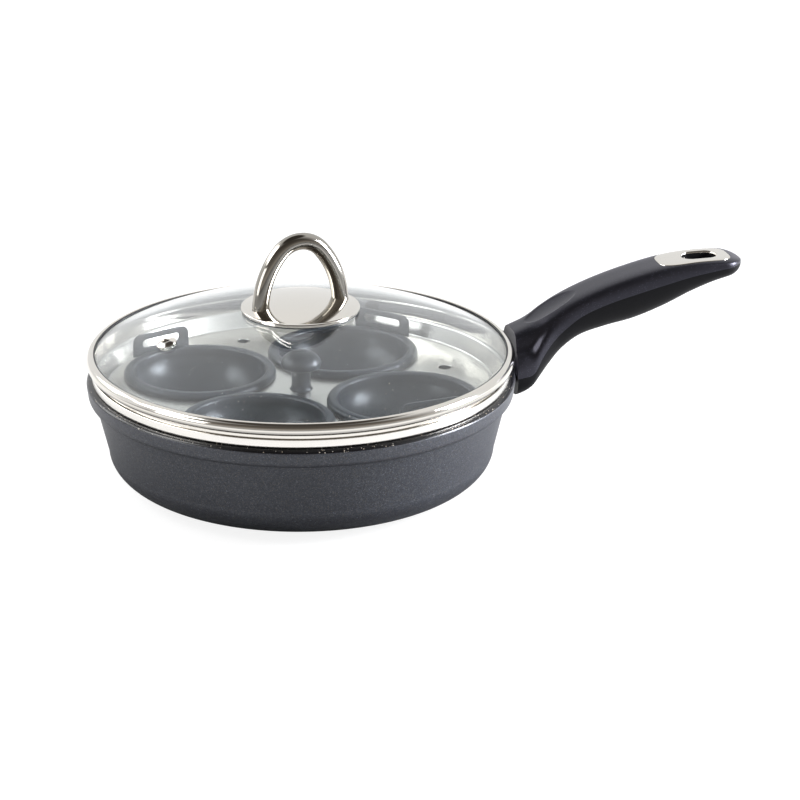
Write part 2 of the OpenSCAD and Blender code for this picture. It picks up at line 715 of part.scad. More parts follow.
pan_body();
base_disc();
handle_lower();
handle_upper();
handle_inlay();
handle_screw();
tray_plate();
tray_knob();
knob_washer();
knob_screw();
cup_1();
cup_2();
cup_3();
cup_4();
lid_glass();
lid_band();
lid_seal();
lid_plate();
lid_loop();
lid_gasket();
lid_washer();
lid_screw();
vent_eyelet();
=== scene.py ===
# %% [markdown]
# # An egg poacher pan
# The pan has three layers. A cast pan with a curved handle stands on the table. A
# steel tray rests on its lip and holds four egg cups round a knob. A glass lid in a
# polished steel band stands on the tray. The measured solids are loaded first, and
# each cell below then makes one visible piece or one finish that fits over them.

import math

import bmesh
import bpy
import numpy as np
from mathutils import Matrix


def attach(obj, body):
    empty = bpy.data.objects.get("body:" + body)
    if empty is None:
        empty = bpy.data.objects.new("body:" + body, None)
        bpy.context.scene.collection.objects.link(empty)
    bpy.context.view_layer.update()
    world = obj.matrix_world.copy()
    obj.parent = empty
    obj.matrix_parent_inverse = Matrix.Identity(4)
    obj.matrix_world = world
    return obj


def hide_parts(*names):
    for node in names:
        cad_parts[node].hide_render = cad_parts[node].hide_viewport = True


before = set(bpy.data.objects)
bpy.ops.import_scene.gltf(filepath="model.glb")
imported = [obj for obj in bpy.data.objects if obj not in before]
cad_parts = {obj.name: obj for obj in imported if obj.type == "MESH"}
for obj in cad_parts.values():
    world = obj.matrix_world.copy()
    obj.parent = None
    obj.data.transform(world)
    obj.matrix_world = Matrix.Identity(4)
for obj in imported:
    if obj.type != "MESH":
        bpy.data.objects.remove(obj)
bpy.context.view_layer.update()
MM = 0.001


def placed(name, data):
    """A new object of the scene that shows the data."""
    obj = bpy.data.objects.new(name, data)
    bpy.context.scene.collection.objects.link(obj)
    return obj


# %% [markdown]
# ## The camera
# A catalogue photo of cookware is taken from far away with a long lens, so that the
# rings stay round and calm. Here the handle points away from the viewer by 15
# degrees, and the camera looks down by about 21 degrees. The camera could be placed
# by eye, but the ellipses of the rim, the lid and the cups fix it: their widths give
# the scale, and their heights give the tilt.

# %% Camera
CAMERA_TURN, CAMERA_TILT, CAMERA_FAR = -15, 20.592, 2347.93
AIM_SIDE, AIM_HEIGHT = 57.92, 46.61
LENS, SENSOR_W = 180, 36


def turned(x, y, degrees):
    """A point of the plan, or whole arrays of them, turned about the upright axis:
    x cos a - y sin a, and x sin a + y cos a."""
    c, s = math.cos(math.radians(degrees)), math.sin(math.radians(degrees))
    return x * c - y * s, x * s + y * c


def aimed_camera():
    """The camera stands CAMERA_FAR from a point beside the pan's axis, at the photo's
    tilt, turned about the upright axis by CAMERA_TURN."""
    data = bpy.data.cameras.new("photo_camera")
    data.lens, data.sensor_width = LENS, SENSOR_W
    data.clip_start, data.clip_end = 0.1, 50
    camera = placed("photo_camera", data)
    tilt = math.radians(CAMERA_TILT)
    x, y = turned(AIM_SIDE, -CAMERA_FAR * math.cos(tilt), CAMERA_TURN)
    z = AIM_HEIGHT + CAMERA_FAR * math.sin(tilt)
    camera.location = (x * MM, y * MM, z * MM)
    camera.rotation_euler = (math.pi / 2 - tilt, 0, math.radians(CAMERA_TURN))
    bpy.context.scene.camera = camera
    return camera


camera = aimed_camera()
print("camera at", tuple(round(v, 3) for v in camera.location))

# %% [markdown]
# ## The light
# Shiny steel shows what stands round it, so the light is part of the finish. Soft
# lamps above, behind and at the sides give the broad highlights. Two of them light the
# object without an image of themselves, because that image would lie on the glass lid
# as a white veil. A single bright lamp would be simpler, but polished steel would then
# look like white plastic.

# %% Lamps
MIDDLE = (60, 0, 60)


def area_lamp(name, place, size, watts, colour=(1, 1, 1), mirrored=True):
    """A rectangular soft lamp at a place in millimetres that faces MIDDLE. One that
    isn't mirrored lights the object and leaves no image of itself in it."""
    data = bpy.data.lights.new(name, "AREA")
    data.shape = "RECTANGLE"
    data.size, data.size_y = size[0] * MM, size[1] * MM
    data.energy, data.color = watts, colour
    lamp = placed(name, data)
    lamp.location = np.array(place) * MM
    away = np.array(place, float) - np.array(MIDDLE, float)
    lean = math.atan2(math.hypot(away[0], away[1]), away[2])
    lamp.rotation_euler = (lean, 0, math.atan2(away[1], away[0]) + math.pi / 2)
    lamp.visible_glossy = lamp.visible_transmission = mirrored
    return lamp


lamps = [
    area_lamp("top_softbox", (100, 150, 1500), (1500, 1100), 15, mirrored=False),
    area_lamp("left_strip", (-1300, -300, 320), (700, 600), 4),
    area_lamp("left_high_softbox", (-1100, 200, 1000), (700, 700), 9),
    area_lamp("right_strip", (1350, -350, 420), (500, 900), 55, (0.93, 0.95, 1)),
    area_lamp("back_left_softbox", (-1000, 1150, 850), (700, 700), 5),
    area_lamp("back_right_softbox", (1150, 1000, 650), (700, 700), 6, mirrored=False)]
print("lamps:", {lamp.name: lamp.data.energy for lamp in lamps})

# %% [markdown]
# ## Nodes
# The room, the floor and every finish are small graphs of nodes. Each node could get
# lines of its own for its settings and links, but one short function makes a graph
# read like a recipe.

# %% Nodes


def add(tree, kind, sources=None, **settings):
    """Adds a node, sets its properties and inputs by name, and feeds its sockets. A
    setting whose name is no property of the node is one of its inputs, with
    underscores for spaces. A source is a socket to link or a value to set."""
    node = tree.nodes.new("ShaderNode" + kind)
    for key, value in settings.items():
        if hasattr(node, key):
            setattr(node, key, value)
        else:
            node.inputs[key.replace("_", " ")].default_value = value
    for key, source in (sources or {}).items():
        if isinstance(source, bpy.types.NodeSocket):
            tree.links.new(source, node.inputs[key])
        else:
            node.inputs[key].default_value = source
    return node


def shade_ramp(tree, fac, stops):
    """A colour ramp through (place, (red, green, blue)) stops, in linear light."""
    ramp = add(tree, "ValToRGB", {"Fac": fac})
    elements = ramp.color_ramp.elements
    for place, shade in stops[1:-1]:
        elements.new(place).color = (*shade, 1)
    for stop, (place, shade) in ((elements[0], stops[0]), (elements[-1], stops[-1])):
        stop.position, stop.color = place, (*shade, 1)
    return ramp.outputs["Color"]


def ray_kinds(tree):
    """Light Path's outputs, and 1 where the camera or glass sends the ray, else 0."""
    path = add(tree, "LightPath").outputs
    seen = add(tree, "Math", {0: path["Is Camera Ray"], 1: path["Is Transmission Ray"]},
               operation="MAXIMUM")
    return path, seen.outputs[0]


print("node helpers are ready")

# %% [markdown]
# ## The room
# The room is white behind the object and at its sides, and dark above it and behind
# the camera: that gives the steel its white strips and dark cores. Real walls could
# stand there, but a world that is drawn by direction needs none. The camera and the
# glass see plain white instead, and matt surfaces get an even light.

# %% Room
TO_FRONT = (-0.233, -0.972, 0)
ROOM_LIGHT = 0.5
LOWEST = -0.25
WHITE, WALL, SMOKE = (1, 1, 1), (0.98, 0.99, 1), (0.07, 0.062, 0.055)
# Heights of a direction, from LOWEST at 0 to straight up at 1, and what stands there
ROOM_BEHIND = (
    (0.0, WALL), (0.55, WALL), (0.7, WHITE), (0.88, WHITE), (0.93, SMOKE), (1.0, SMOKE))
ROOM_BEFORE = (
    (0.0, (0.3, 0.28, 0.26)), (0.18, (0.5, 0.47, 0.43)), (0.26, (0.48, 0.45, 0.41)),
    (0.42, (0.25, 0.23, 0.21)), (0.66, (0.12, 0.105, 0.09)), (1.0, SMOKE))


def towards_front(tree, vector):
    """How far a vector points to the front: its scalar product with TO_FRONT."""
    product = add(tree, "VectorMath", {0: vector, 1: TO_FRONT}, operation="DOT_PRODUCT")
    return product.outputs["Value"]


def studio_room():
    """White where the camera or glass sees it and a soft even level where it lights
    matt surfaces. Mirrors see a room: for directions away from the front it is white
    up to a dark ceiling, and towards the front it falls from cream at the horizon to
    a dark wall. The height of a direction is its upward part, from LOWEST to 1."""
    world = bpy.data.worlds.new("studio")
    world.use_nodes = True
    bpy.context.scene.world = world
    tree = world.node_tree
    tree.nodes.clear()
    way = add(tree, "TexCoord").outputs["Generated"]
    height = add(tree, "SeparateXYZ", {"Vector": way}).outputs["Z"]
    up = add(tree, "MapRange", {"Value": height}, From_Min=LOWEST, From_Max=1.0).outputs[0]
    front = add(tree, "MapRange", {"Value": towards_front(tree, way)},
                From_Min=-0.1, From_Max=0.5).outputs[0]
    behind, before = (shade_ramp(tree, up, stops) for stops in (ROOM_BEHIND, ROOM_BEFORE))
    room = add(tree, "Mix", {0: front, 6: behind, 7: before}, data_type="RGBA").outputs[2]
    path, seen = ray_kinds(tree)
    level = add(tree, "MapRange", {"Value": seen}, To_Min=ROOM_LIGHT, To_Max=1.0).outputs[0]
    plain = add(tree, "Background", {"Strength": level})
    walls = add(tree, "Background", {"Color": room})
    mirror = add(tree, "Math", {0: path["Is Glossy Ray"], 1: path["Is Transmission Ray"]},
                 operation="GREATER_THAN").outputs[0]
    both = add(tree, "MixShader", {0: mirror, 1: plain.outputs[0], 2: walls.outputs[0]})
    add(tree, "OutputWorld", {"Surface": both.outputs[0]})
    return world


print("world:", studio_room().name)

# %% [markdown]
# ## The floor
# The photo's ground is plain white. A white floor under strong light would give that
# too, but the polished band would mirror it bright right up to the pan, where a real
# floor lies in the pan's shade. So the floor is matt and greyish, and has a light of
# its own for the rays that come from the camera, from glass or from a mirror.

# %% Floor
# Metres, here and in GLOW_RING's first column
FLOOR_R, FLOOR_Z = 6, -0.0004
FLOOR_SHADE, FLOOR_GLOW = 0.24, 0.86
# Distance from the axis, and the share of the glow that mirrors see there. This is painted shade:
# there is none close to the pan, where its shade lies, and little further out, except behind
GLOW_RING = ((0.0, 0), (0.12, 0), (0.24, 1), (0.32, 1), (0.42, 0.15), (0.6, 0.08))
GLOW_REACH = GLOW_RING[-1][0]
GLOW_BEHIND = 0.12


def pale_floor():
    """A wide matt disc that glows. The camera and glass see the whole glow, so that the
    floor ends in the white of the world. Mirrors see the larger of two shares: that of
    GLOW_RING, by the distance from the axis, and one that rises from 0 at the axis to
    1 at GLOW_BEHIND behind it. GLOW_RING is painted shade: mirrors see no glow close to
    the pan, where its shade falls on the floor."""
    material = bpy.data.materials.new("floor_paper")
    material.use_nodes = True
    tree = material.node_tree
    tree.nodes.clear()
    matt = add(tree, "BsdfDiffuse", {"Color": (FLOOR_SHADE, FLOOR_SHADE, FLOOR_SHADE, 1)})
    place = add(tree, "TexCoord").outputs["Object"]
    far = add(tree, "VectorMath", {0: place}, operation="LENGTH").outputs["Value"]
    reach = add(tree, "MapRange", {"Value": far}, From_Max=GLOW_REACH).outputs[0]
    ring = shade_ramp(tree, reach, [(r / GLOW_REACH, (g, g, g)) for r, g in GLOW_RING])
    behind = add(tree, "MapRange", {"Value": towards_front(tree, place)},
                 From_Min=0.0, From_Max=-GLOW_BEHIND).outputs[0]
    share = add(tree, "Math", {0: ring, 1: behind}, operation="MAXIMUM").outputs[0]
    path, seen = ray_kinds(tree)
    mirrored = add(tree, "Math", {0: path["Is Glossy Ray"], 1: share},
                   operation="MULTIPLY").outputs[0]
    shown = add(tree, "Math", {0: seen, 1: mirrored}, operation="MAXIMUM").outputs[0]
    level = add(tree, "MapRange", {"Value": shown}, To_Min=0.0, To_Max=FLOOR_GLOW).outputs[0]
    glow = add(tree, "Emission", {"Strength": level})
    both = add(tree, "AddShader", {0: matt.outputs[0], 1: glow.outputs[0]})
    add(tree, "OutputMaterial", {"Surface": both.outputs[0]})
    bpy.ops.mesh.primitive_circle_add(vertices=96, radius=FLOOR_R, fill_type="NGON",
                                      location=(0, 0, FLOOR_Z))
    floor = bpy.context.object
    floor.name = "floor"
    floor.data.materials.append(material)
    return floor


print("floor's corners:", len(pale_floor().data.vertices))

# %% [markdown]
# ## Colours
# Colours are written as sRGB hex values, which is how a paint chart or a photo gives
# them. The shader works with linear light, so one function turns them over.

# %% Colours


def linear(hex_colour):
    """The sRGB curve undone: below 0.04045 a straight line, above it a power of 2.4."""
    parts = np.array([int(hex_colour[i:i + 2], 16) for i in (1, 3, 5)]) / 255
    low, high = parts / 12.92, ((parts + 0.055) / 1.055) ** 2.4
    return (*np.where(parts <= 0.04045, low, high), 1.0)


def per_mm(size):
    """The texture scale at which one cell of a pattern measures size millimetres."""
    return 1 / (size * MM)


def new_material(name, **constants):
    """A material with a Principled shader, its tree and the object's own coordinates.
    Constants are set on the shader's own sockets, with underscores for spaces."""
    material = bpy.data.materials.new(name)
    material.use_nodes = True
    tree = material.node_tree
    shader = tree.nodes["Principled BSDF"]
    for key, value in constants.items():
        shader.inputs[key.replace("_", " ")].default_value = value
    coords = add(tree, "TexCoord").outputs["Object"]
    return material, tree, shader, coords


def fleck_mask(tree, coords, cell, share, radius):
    """Small round flecks: each cell of a Voronoi pattern holds one point, a random
    value per cell keeps a share of them, and the distance to the point draws the dot.
    The radius is a share of the cell. A second random value tints each fleck."""
    cells = add(tree, "TexVoronoi", {"Vector": coords}, Scale=per_mm(cell))
    chance = add(tree, "SeparateColor", {"Color": cells.outputs["Color"]})
    kept = add(tree, "Math", {0: chance.outputs["Red"], 1: share}, operation="LESS_THAN")
    dot = add(tree, "MapRange", {"Value": cells.outputs["Distance"]},
              From_Min=radius * 0.7, From_Max=radius, To_Min=1.0, To_Max=0.0)
    mask = add(tree, "Math", {0: kept.outputs[0], 1: dot.outputs[0]}, operation="MULTIPLY")
    return mask.outputs[0], chance.outputs["Green"]


def blend_colours(tree, share, first, second):
    """A mix of two colours, each a socket or a linear colour, by a share from 0 to 1."""
    return add(tree, "Mix", {0: share, 6: first, 7: second}, data_type="RGBA").outputs[2]


def textured(tree, shader, pattern, rough=None, bump=None):
    """Lets a pattern from 0 to 1 set the roughness between two values, and raise the
    surface; bump is a strength and a height in millimetres."""
    if rough:
        level = add(tree, "MapRange", {"Value": pattern}, To_Min=rough[0], To_Max=rough[1])
        tree.links.new(level.outputs[0], shader.inputs["Roughness"])
    if bump:
        relief = add(tree, "Bump", {"Height": pattern}, Strength=bump[0], Distance=bump[1] * MM)
        tree.links.new(relief.outputs[0], shader.inputs["Normal"])


print("white in linear light:", linear("#ffffff"))

# %% [markdown]
# ## Finish of the pan
# The outside of such a pan is sprayed with a silicone-polyester enamel that holds fine
# metal flake. The eye sees a dark satin grey with a grain of lighter blue and brown
# points. The inside and the lip carry a glossier black non-stick coating with pale
# mineral specks. A plain dark plastic would miss both, so flake and specks are drawn
# as cells of their real size, and a fine bump breaks the highlights up.

# %% Pan enamel and speckled coating
FLAKE = ((0.0, "#3a3b41"), (0.45, "#44464c"), (0.85, "#50535a"), (0.95, "#5a5753"),
         (1.0, "#6a6e78"))


def flake_enamel():
    """Satin enamel with metal flake of about 0.45 mm, as fine as the render can show."""
    material, tree, shader, coords = new_material("flake_enamel", Metallic=0.45)
    grain = add(tree, "TexVoronoi", {"Vector": coords}, Scale=per_mm(0.45))
    tint = add(tree, "SeparateColor", {"Color": grain.outputs["Color"]})
    stops = [(place, linear(shade)[:3]) for place, shade in FLAKE]
    colour = shade_ramp(tree, tint.outputs["Red"], stops)
    tree.links.new(colour, shader.inputs["Base Color"])
    clouds = add(tree, "TexNoise", {"Vector": coords}, Scale=per_mm(1.3), Detail=3.0)
    textured(tree, shader, clouds.outputs["Fac"], rough=(0.34, 0.46))
    skin = add(tree, "TexNoise", {"Vector": coords}, Scale=per_mm(0.6), Detail=2.0)
    textured(tree, shader, skin.outputs["Fac"], bump=(0.12, 0.04))
    return material


def speckled_coating(name, ground, speck, share, roughness, metallic=0.0):
    """Non-stick coating: a dark ground, pale specks of about 0.5 and 0.8 mm, fewer of
    the large ones, and a fine orange peel from spraying."""
    material, tree, shader, coords = new_material(name, Metallic=metallic)
    fine, tone = fleck_mask(tree, coords, 1.1, share, 0.26)
    coarse, _ = fleck_mask(tree, coords, 2.8, share * 0.4, 0.14)
    both = add(tree, "Math", {0: fine, 1: coarse}, operation="MAXIMUM")
    pale = blend_colours(tree, tone, linear(speck), linear("#cdb89f"))
    colour = blend_colours(tree, both.outputs[0], linear(ground), pale)
    tree.links.new(colour, shader.inputs["Base Color"])
    peel = add(tree, "TexNoise", {"Vector": coords}, Scale=per_mm(1.1), Detail=2.0)
    textured(tree, shader, peel.outputs["Fac"], (roughness - 0.05, roughness + 0.06), (0.2, 0.06))
    return material


ENAMEL = flake_enamel()
PAN_COATING = speckled_coating("black_nonstick", "#0d0d10", "#e9e4da", 0.2, 0.22)
CUP_COATING = speckled_coating("grey_nonstick", "#303338", "#c9ccd2", 0.035, 0.3, metallic=0.2)
print("coatings are ready")

# %% [markdown]
# ## Steel, glass, rubber and plastic
# The tray is satin stainless steel, brushed round the axis. The lid's band and plate
# and the grip's inlay are mirror-polished, and so is the loop, whose copy of that steel
# is painted a little darker, as painted shade. The glass is clear and tempered. The
# lower grip is plain matt phenolic, and the upper grip has a soft-touch skin with a
# faint fleck. Each finish could be one flat colour, but it starts from typical values
# for its material, and a fine pattern then varies its roughness or its surface.

# %% Steel
# Metres of the pattern to a radian round the axis: at 100 mm from it, where a radian is
# 100 mm long, a grain is 25 times as long as it is wide
BRUSH_TURN = 0.004


def satin_steel():
    """Stainless steel brushed round the axis: noise over the distance from the axis, the
    height, and the angle times BRUSH_TURN, which draws its grains out into long lines."""
    material, tree, shader, coords = new_material(
        "satin_stainless", Base_Color=linear("#ebe8e3"), Metallic=1.0)
    x, y, z = add(tree, "SeparateXYZ", {"Vector": coords}).outputs
    squares = [add(tree, "Math", {0: v, 1: v}, operation="MULTIPLY").outputs[0] for v in (x, y)]
    total = add(tree, "Math", {0: squares[0], 1: squares[1]}, operation="ADD")
    radius = add(tree, "Math", {0: total.outputs[0]}, operation="SQRT")
    angle = add(tree, "Math", {0: y, 1: x}, operation="ARCTAN2")
    around = add(tree, "Math", {0: angle.outputs[0], 1: BRUSH_TURN}, operation="MULTIPLY")
    ring = add(tree, "CombineXYZ", {"X": radius.outputs[0], "Y": z, "Z": around.outputs[0]})
    lines = add(tree, "TexNoise", {"Vector": ring.outputs[0]}, Scale=per_mm(0.45), Detail=3.0)
    textured(tree, shader, lines.outputs["Fac"], (0.24, 0.28), (0.02, 0.03))
    return material


def polished_steel(name, shade):
    """Buffed stainless steel: almost a mirror, with a faint waviness from the buffing."""
    material, tree, shader, coords = new_material(name, Base_Color=linear(shade), Metallic=1.0)
    wave = add(tree, "TexNoise", {"Vector": coords}, Scale=per_mm(9), Detail=1.0)
    textured(tree, shader, wave.outputs["Fac"], bump=(0.05, 0.4))
    haze = add(tree, "TexNoise", {"Vector": coords}, Scale=per_mm(2.5), Detail=3.0)
    textured(tree, shader, haze.outputs["Fac"], rough=(0.05, 0.11))
    return material


def plain_steel():
    """Machined stainless steel of screws and washers: greyer, with fine tool marks."""
    material, tree, shader, coords = new_material(
        "machined_stainless", Base_Color=linear("#b5b3af"), Metallic=1.0)
    marks = add(tree, "TexNoise", {"Vector": coords}, Scale=per_mm(0.5), Detail=2.0)
    textured(tree, shader, marks.outputs["Fac"], rough=(0.25, 0.42))
    return material


SATIN, MACHINED = satin_steel(), plain_steel()
POLISHED = polished_steel("polished_stainless", "#dcd8d1")
# The loop's polished steel is painted darker than the band's: painted shade
SHADED_LOOP_STEEL = polished_steel("polished_bar_painted_shade", "#a39f98")
print("steels are ready")

# %% Glass and seal


def clear_glass():
    """Tempered soda-lime glass, with the faint blue-grey that its thickness gives, and
    the long waves that tempering leaves."""
    material, tree, shader, coords = new_material(
        "tempered_glass", Base_Color=linear("#f3f7f8"), Transmission_Weight=1.0, Roughness=0.0,
        IOR=1.5)
    waves = add(tree, "TexNoise", {"Vector": coords}, Scale=per_mm(60), Detail=0.0)
    textured(tree, shader, waves.outputs["Fac"], bump=(0.02, 1))
    return material


def dark_silicone():
    """Silicone rubber: dark, soft sheen, slightly dusty."""
    material, tree, shader, coords = new_material("dark_silicone", Roughness=0.5)
    dust = add(tree, "TexNoise", {"Vector": coords}, Scale=per_mm(1.2), Detail=3.0)
    colour = blend_colours(tree, dust.outputs["Fac"], linear("#232325"), linear("#34343a"))
    tree.links.new(colour, shader.inputs["Base Color"])
    return material


GLASS, SILICONE = clear_glass(), dark_silicone()
print("glass and seal are ready")

# %% Grips


def soft_touch():
    """Soft-touch lacquer on the upper grip: near black with a fine grain, and the
    lavender sheen that rubbery lacquer shows where the eye meets it at a flat angle."""
    material, tree, shader, coords = new_material(
        "soft_touch_lacquer", Specular_IOR_Level=0.6, Specular_Tint=linear("#dcdaf0"),
        Sheen_Weight=0.15, Sheen_Roughness=0.3, Sheen_Tint=linear("#b4b0cc"))
    mask, tone = fleck_mask(tree, coords, 0.7, 0.3, 0.36)
    pale = blend_colours(tree, tone, linear("#1c1c21"), linear("#3c3c46"))
    colour = blend_colours(tree, mask, linear("#0c0c0f"), pale)
    tree.links.new(colour, shader.inputs["Base Color"])
    skin = add(tree, "TexNoise", {"Vector": coords}, Scale=per_mm(0.7), Detail=2.0)
    textured(tree, shader, skin.outputs["Fac"], (0.3, 0.38), (0.2, 0.05))
    return material


def matt_phenolic():
    """Moulded phenolic resin of the lower grip: black, matt, with fine moulding grain."""
    material, tree, shader, coords = new_material(
        "matt_phenolic", Roughness=0.5, Specular_IOR_Level=0.1)
    grain = add(tree, "TexNoise", {"Vector": coords}, Scale=per_mm(0.7), Detail=3.0)
    colour = blend_colours(tree, grain.outputs["Fac"], linear("#08080a"), linear("#121214"))
    tree.links.new(colour, shader.inputs["Base Color"])
    textured(tree, shader, grain.outputs["Fac"], bump=(0.2, 0.05))
    return material


SOFT_TOUCH, PHENOLIC = soft_touch(), matt_phenolic()
print("grip finishes are ready")

# %% [markdown]
# ## Turned and pressed pieces
# Almost everything here is round: the pan is cast and turned, the tray, band and cups
# are pressed over round tools. Each is a profile carried round an axis. The Spin tool
# or a Screw modifier could do that, but a formula on a grid of points is shorter, and
# every bend gets as many points as it needs.

# %% Profiles and surfaces


def arc(x, z, rx, rz, start, end, steps):
    """Points x + rx cos a, z + rz sin a, for angles from start to end in degrees."""
    a = np.radians(np.linspace(start, end, steps + 1))
    return np.stack([x + rx * np.cos(a), z + rz * np.sin(a)], -1)


def outline(*parts):
    """One profile from arcs and single points, in order."""
    return np.concatenate([np.atleast_2d(np.array(p, float)) for p in parts])


def bent(v, power):
    """Sines or cosines whose size is raised to a power, with their sign kept: below 1
    it bends a circle towards a square."""
    return np.sign(v) * np.abs(v) ** power


def grid_mesh(name, points, round_u=False, round_v=False, caps=()):
    """Quads over a grid of points: (i, j) is joined to its next neighbours, round the
    grid's edge where a direction is closed. caps names ends in u to be closed by one
    face each: 0 the first row, -1 the last."""
    n, m = points.shape[:2]
    i, j = np.meshgrid(np.arange(n if round_u else n - 1), np.arange(m if round_v else m - 1),
                       indexing="ij")
    i2, j2 = (i + 1) % n, (j + 1) % m
    quads = np.stack([i * m + j, i2 * m + j, i2 * m + j2, i * m + j2], -1).reshape(-1, 4)
    ends = [list(range((n - 1) * m, n * m)) if c == -1 else list(range(m))[::-1] for c in caps]
    mesh = bpy.data.meshes.new(name)
    mesh.from_pydata((points.reshape(-1, 3) * MM).tolist(), [], quads.tolist() + ends)
    return mesh


SHARP = math.radians(38)


def finished(mesh, weld=0.002):
    """Closes poles and seams, turns faces outwards, and shades smooth up to SHARP."""
    work = bmesh.new()
    work.from_mesh(mesh)
    bmesh.ops.remove_doubles(work, verts=work.verts, dist=weld * MM)
    bmesh.ops.dissolve_degenerate(work, edges=work.edges, dist=weld * MM / 4)
    bmesh.ops.recalc_face_normals(work, faces=work.faces)
    work.to_mesh(mesh)
    work.free()
    mesh.shade_smooth()
    mesh.set_sharp_from_angle(angle=SHARP)
    return mesh


def piece(name, mesh, body, materials, node=None):
    """Places a mesh on its body, gives it its finish, and hides the node it stands in for."""
    obj = placed(name, mesh)
    for material in materials if isinstance(materials, (list, tuple)) else [materials]:
        mesh.materials.append(material)
    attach(obj, body)
    if node:
        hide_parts(node)
    return obj


def revolved(profile, steps, middle=(0, 0), closed=True):
    """A profile point (r, z) goes to (r cos a, r sin a, z) round the middle, for even
    angles a. A closed profile makes a ring; one that starts and ends on the axis is
    closed by its poles."""
    a = np.linspace(0, 2 * np.pi, steps, endpoint=False)[:, None]
    r, z = profile[:, 0][None], profile[:, 1][None]
    points = np.stack([middle[0] + r * np.cos(a), middle[1] + r * np.sin(a), z + 0 * a], -1)
    return grid_mesh("revolved", points, round_u=True, round_v=closed)


print("surface helpers are ready")

# %% [markdown]
# ## The pan
# The wall leans in from a rim band, and an elliptic corner leads to the base. Inside
# it is bored a little conical, so that the tray drops in. The profile runs from the
# middle of the base, out, up over the lip and back along the inside to the floor.

# %% Pan sizes
RIM_R, PAN_H = 125.4, 63.0
LIP_ROUND, LIP_RISE, LIP_IN = 3.4, 2.3, 0.8
BAND_TOP = PAN_H - LIP_RISE
BAND_LOW = BAND_TOP - 8.8
BAND_LEAN, BAND_ROUND, BAND_FILLET = 0.7, 3.4, 0.6
WALL_TOP_R = RIM_R - 4.8
WALL_LOW_R = WALL_TOP_R - 7.4
CORNER_H, CORNER_W = 21.0, 33.5
BASE_R = WALL_LOW_R - CORNER_W
WALL_T, FLOOR_T = 4.0, 4.6
BORE_LOW_R = WALL_TOP_R - WALL_T
BORE_TOP_R = BORE_LOW_R + 2.6
DISC_R, DISC_T = 75.1, 1.2
LUG_W, LUG_H, LUG_END = 22.0, 10.0, 140.0
LUG_Z = BAND_TOP - 2 - LUG_H / 2
print("base radius", round(BASE_R, 2), "bore", round(BORE_LOW_R, 2), round(BORE_TOP_R, 2))

# %% Pan


def pan_profile():
    """Base recess, elliptic corner, leaning wall, fillet, the band's round foot, its
    leaning face, the rounded lip, bore, inner corner and floor. The second part starts
    where the speckled inside does."""
    lip = arc(RIM_R - LIP_ROUND, BAND_TOP, LIP_ROUND, LIP_RISE, 0, 90, 20)
    foot = BAND_LOW + BAND_ROUND
    outside = outline(
        (0, DISC_T), (DISC_R, DISC_T), arc(DISC_R + 0.2, 0.2, 0.2, 0.2, 180, 270, 2),
        arc(BASE_R, CORNER_H, CORNER_W, CORNER_H, -90, 0, 48),
        arc(WALL_TOP_R + BAND_FILLET, BAND_LOW - BAND_FILLET, BAND_FILLET, BAND_FILLET, 180, 90, 6),
        arc(RIM_R - BAND_LEAN - BAND_ROUND, foot, BAND_ROUND, BAND_ROUND, -90, 0, 18), lip[:4])
    inside = outline(
        lip[4:],
        arc(BORE_TOP_R + LIP_IN, PAN_H - LIP_IN, LIP_IN, LIP_IN, 90, 180, 6),
        (BORE_LOW_R, BAND_LOW),
        arc(BASE_R, CORNER_H, CORNER_W - WALL_T, CORNER_H - FLOOR_T, 0, -90, 30),
        (0, FLOOR_T))
    return outside, inside


def faces_of(mesh):
    """The middle of every face, in millimetres, and the way it faces."""
    middle, facing = np.zeros(len(mesh.polygons) * 3), np.zeros(len(mesh.polygons) * 3)
    mesh.polygons.foreach_get("center", middle)
    mesh.polygons.foreach_get("normal", facing)
    return middle.reshape(-1, 3) / MM, facing.reshape(-1, 3)


def two_finishes(mesh, low, outer_r):
    """Faces of the lip and the inside take the second material: those whose middle is
    above the height low and inside outer_r, and those that face the axis or the floor."""
    middle, facing = faces_of(mesh)
    radius = np.hypot(middle[:, 0], middle[:, 1])
    inward = (middle[:, 0] * facing[:, 0] + middle[:, 1] * facing[:, 1]) < -1e-3 * radius
    lip = (middle[:, 2] > low) & (radius < outer_r)
    floor = (facing[:, 2] > 0.5) & (radius < BORE_LOW_R)
    inside = (inward | floor) & (middle[:, 2] > DISC_T + 1)
    mesh.polygons.foreach_set("material_index", (lip | inside).astype(np.int32))


pan_outside, pan_inside = pan_profile()
pan_mesh = finished(revolved(np.concatenate([pan_outside, pan_inside]), 320, closed=False))
two_finishes(pan_mesh, BAND_TOP + 0.1, pan_inside[0, 0] + 0.02)
piece("pan", pan_mesh, "pan", [ENAMEL, PAN_COATING], "pan_body")
print("pan faces:", len(pan_mesh.polygons))

# %% [markdown]
# The handle is held by a lug that is cast with the pan. It crosses the narrow gap
# behind the rim band and lies inside the grip. A cube with a Bevel modifier would do,
# but the same bar, a little larger, is cut out of the grip later, so it is a function.

# %% Handle lug


def rounded_bar(x0, x1, z, half_w, half_h, power=6.0, steps=48):
    """A bar along X with a superellipse section: y = w cos, z = h sin, each to the
    power 2 / power."""
    t = np.linspace(0, 2 * np.pi, steps, endpoint=False)
    y, h = half_w * bent(np.cos(t), 2 / power), half_h * bent(np.sin(t), 2 / power)
    rows = [np.stack([np.full_like(t, x), y, z + h], -1) for x in (x0, x1)]
    return grid_mesh("bar", np.stack(rows), round_v=True, caps=(0, -1))


lug = rounded_bar(BORE_LOW_R + 1.5, LUG_END - 0.2, LUG_Z, LUG_W / 2 - 0.1, LUG_H / 2 - 0.1)
piece("handle_lug", finished(lug), "pan", ENAMEL)
print("lug faces:", len(lug.polygons))

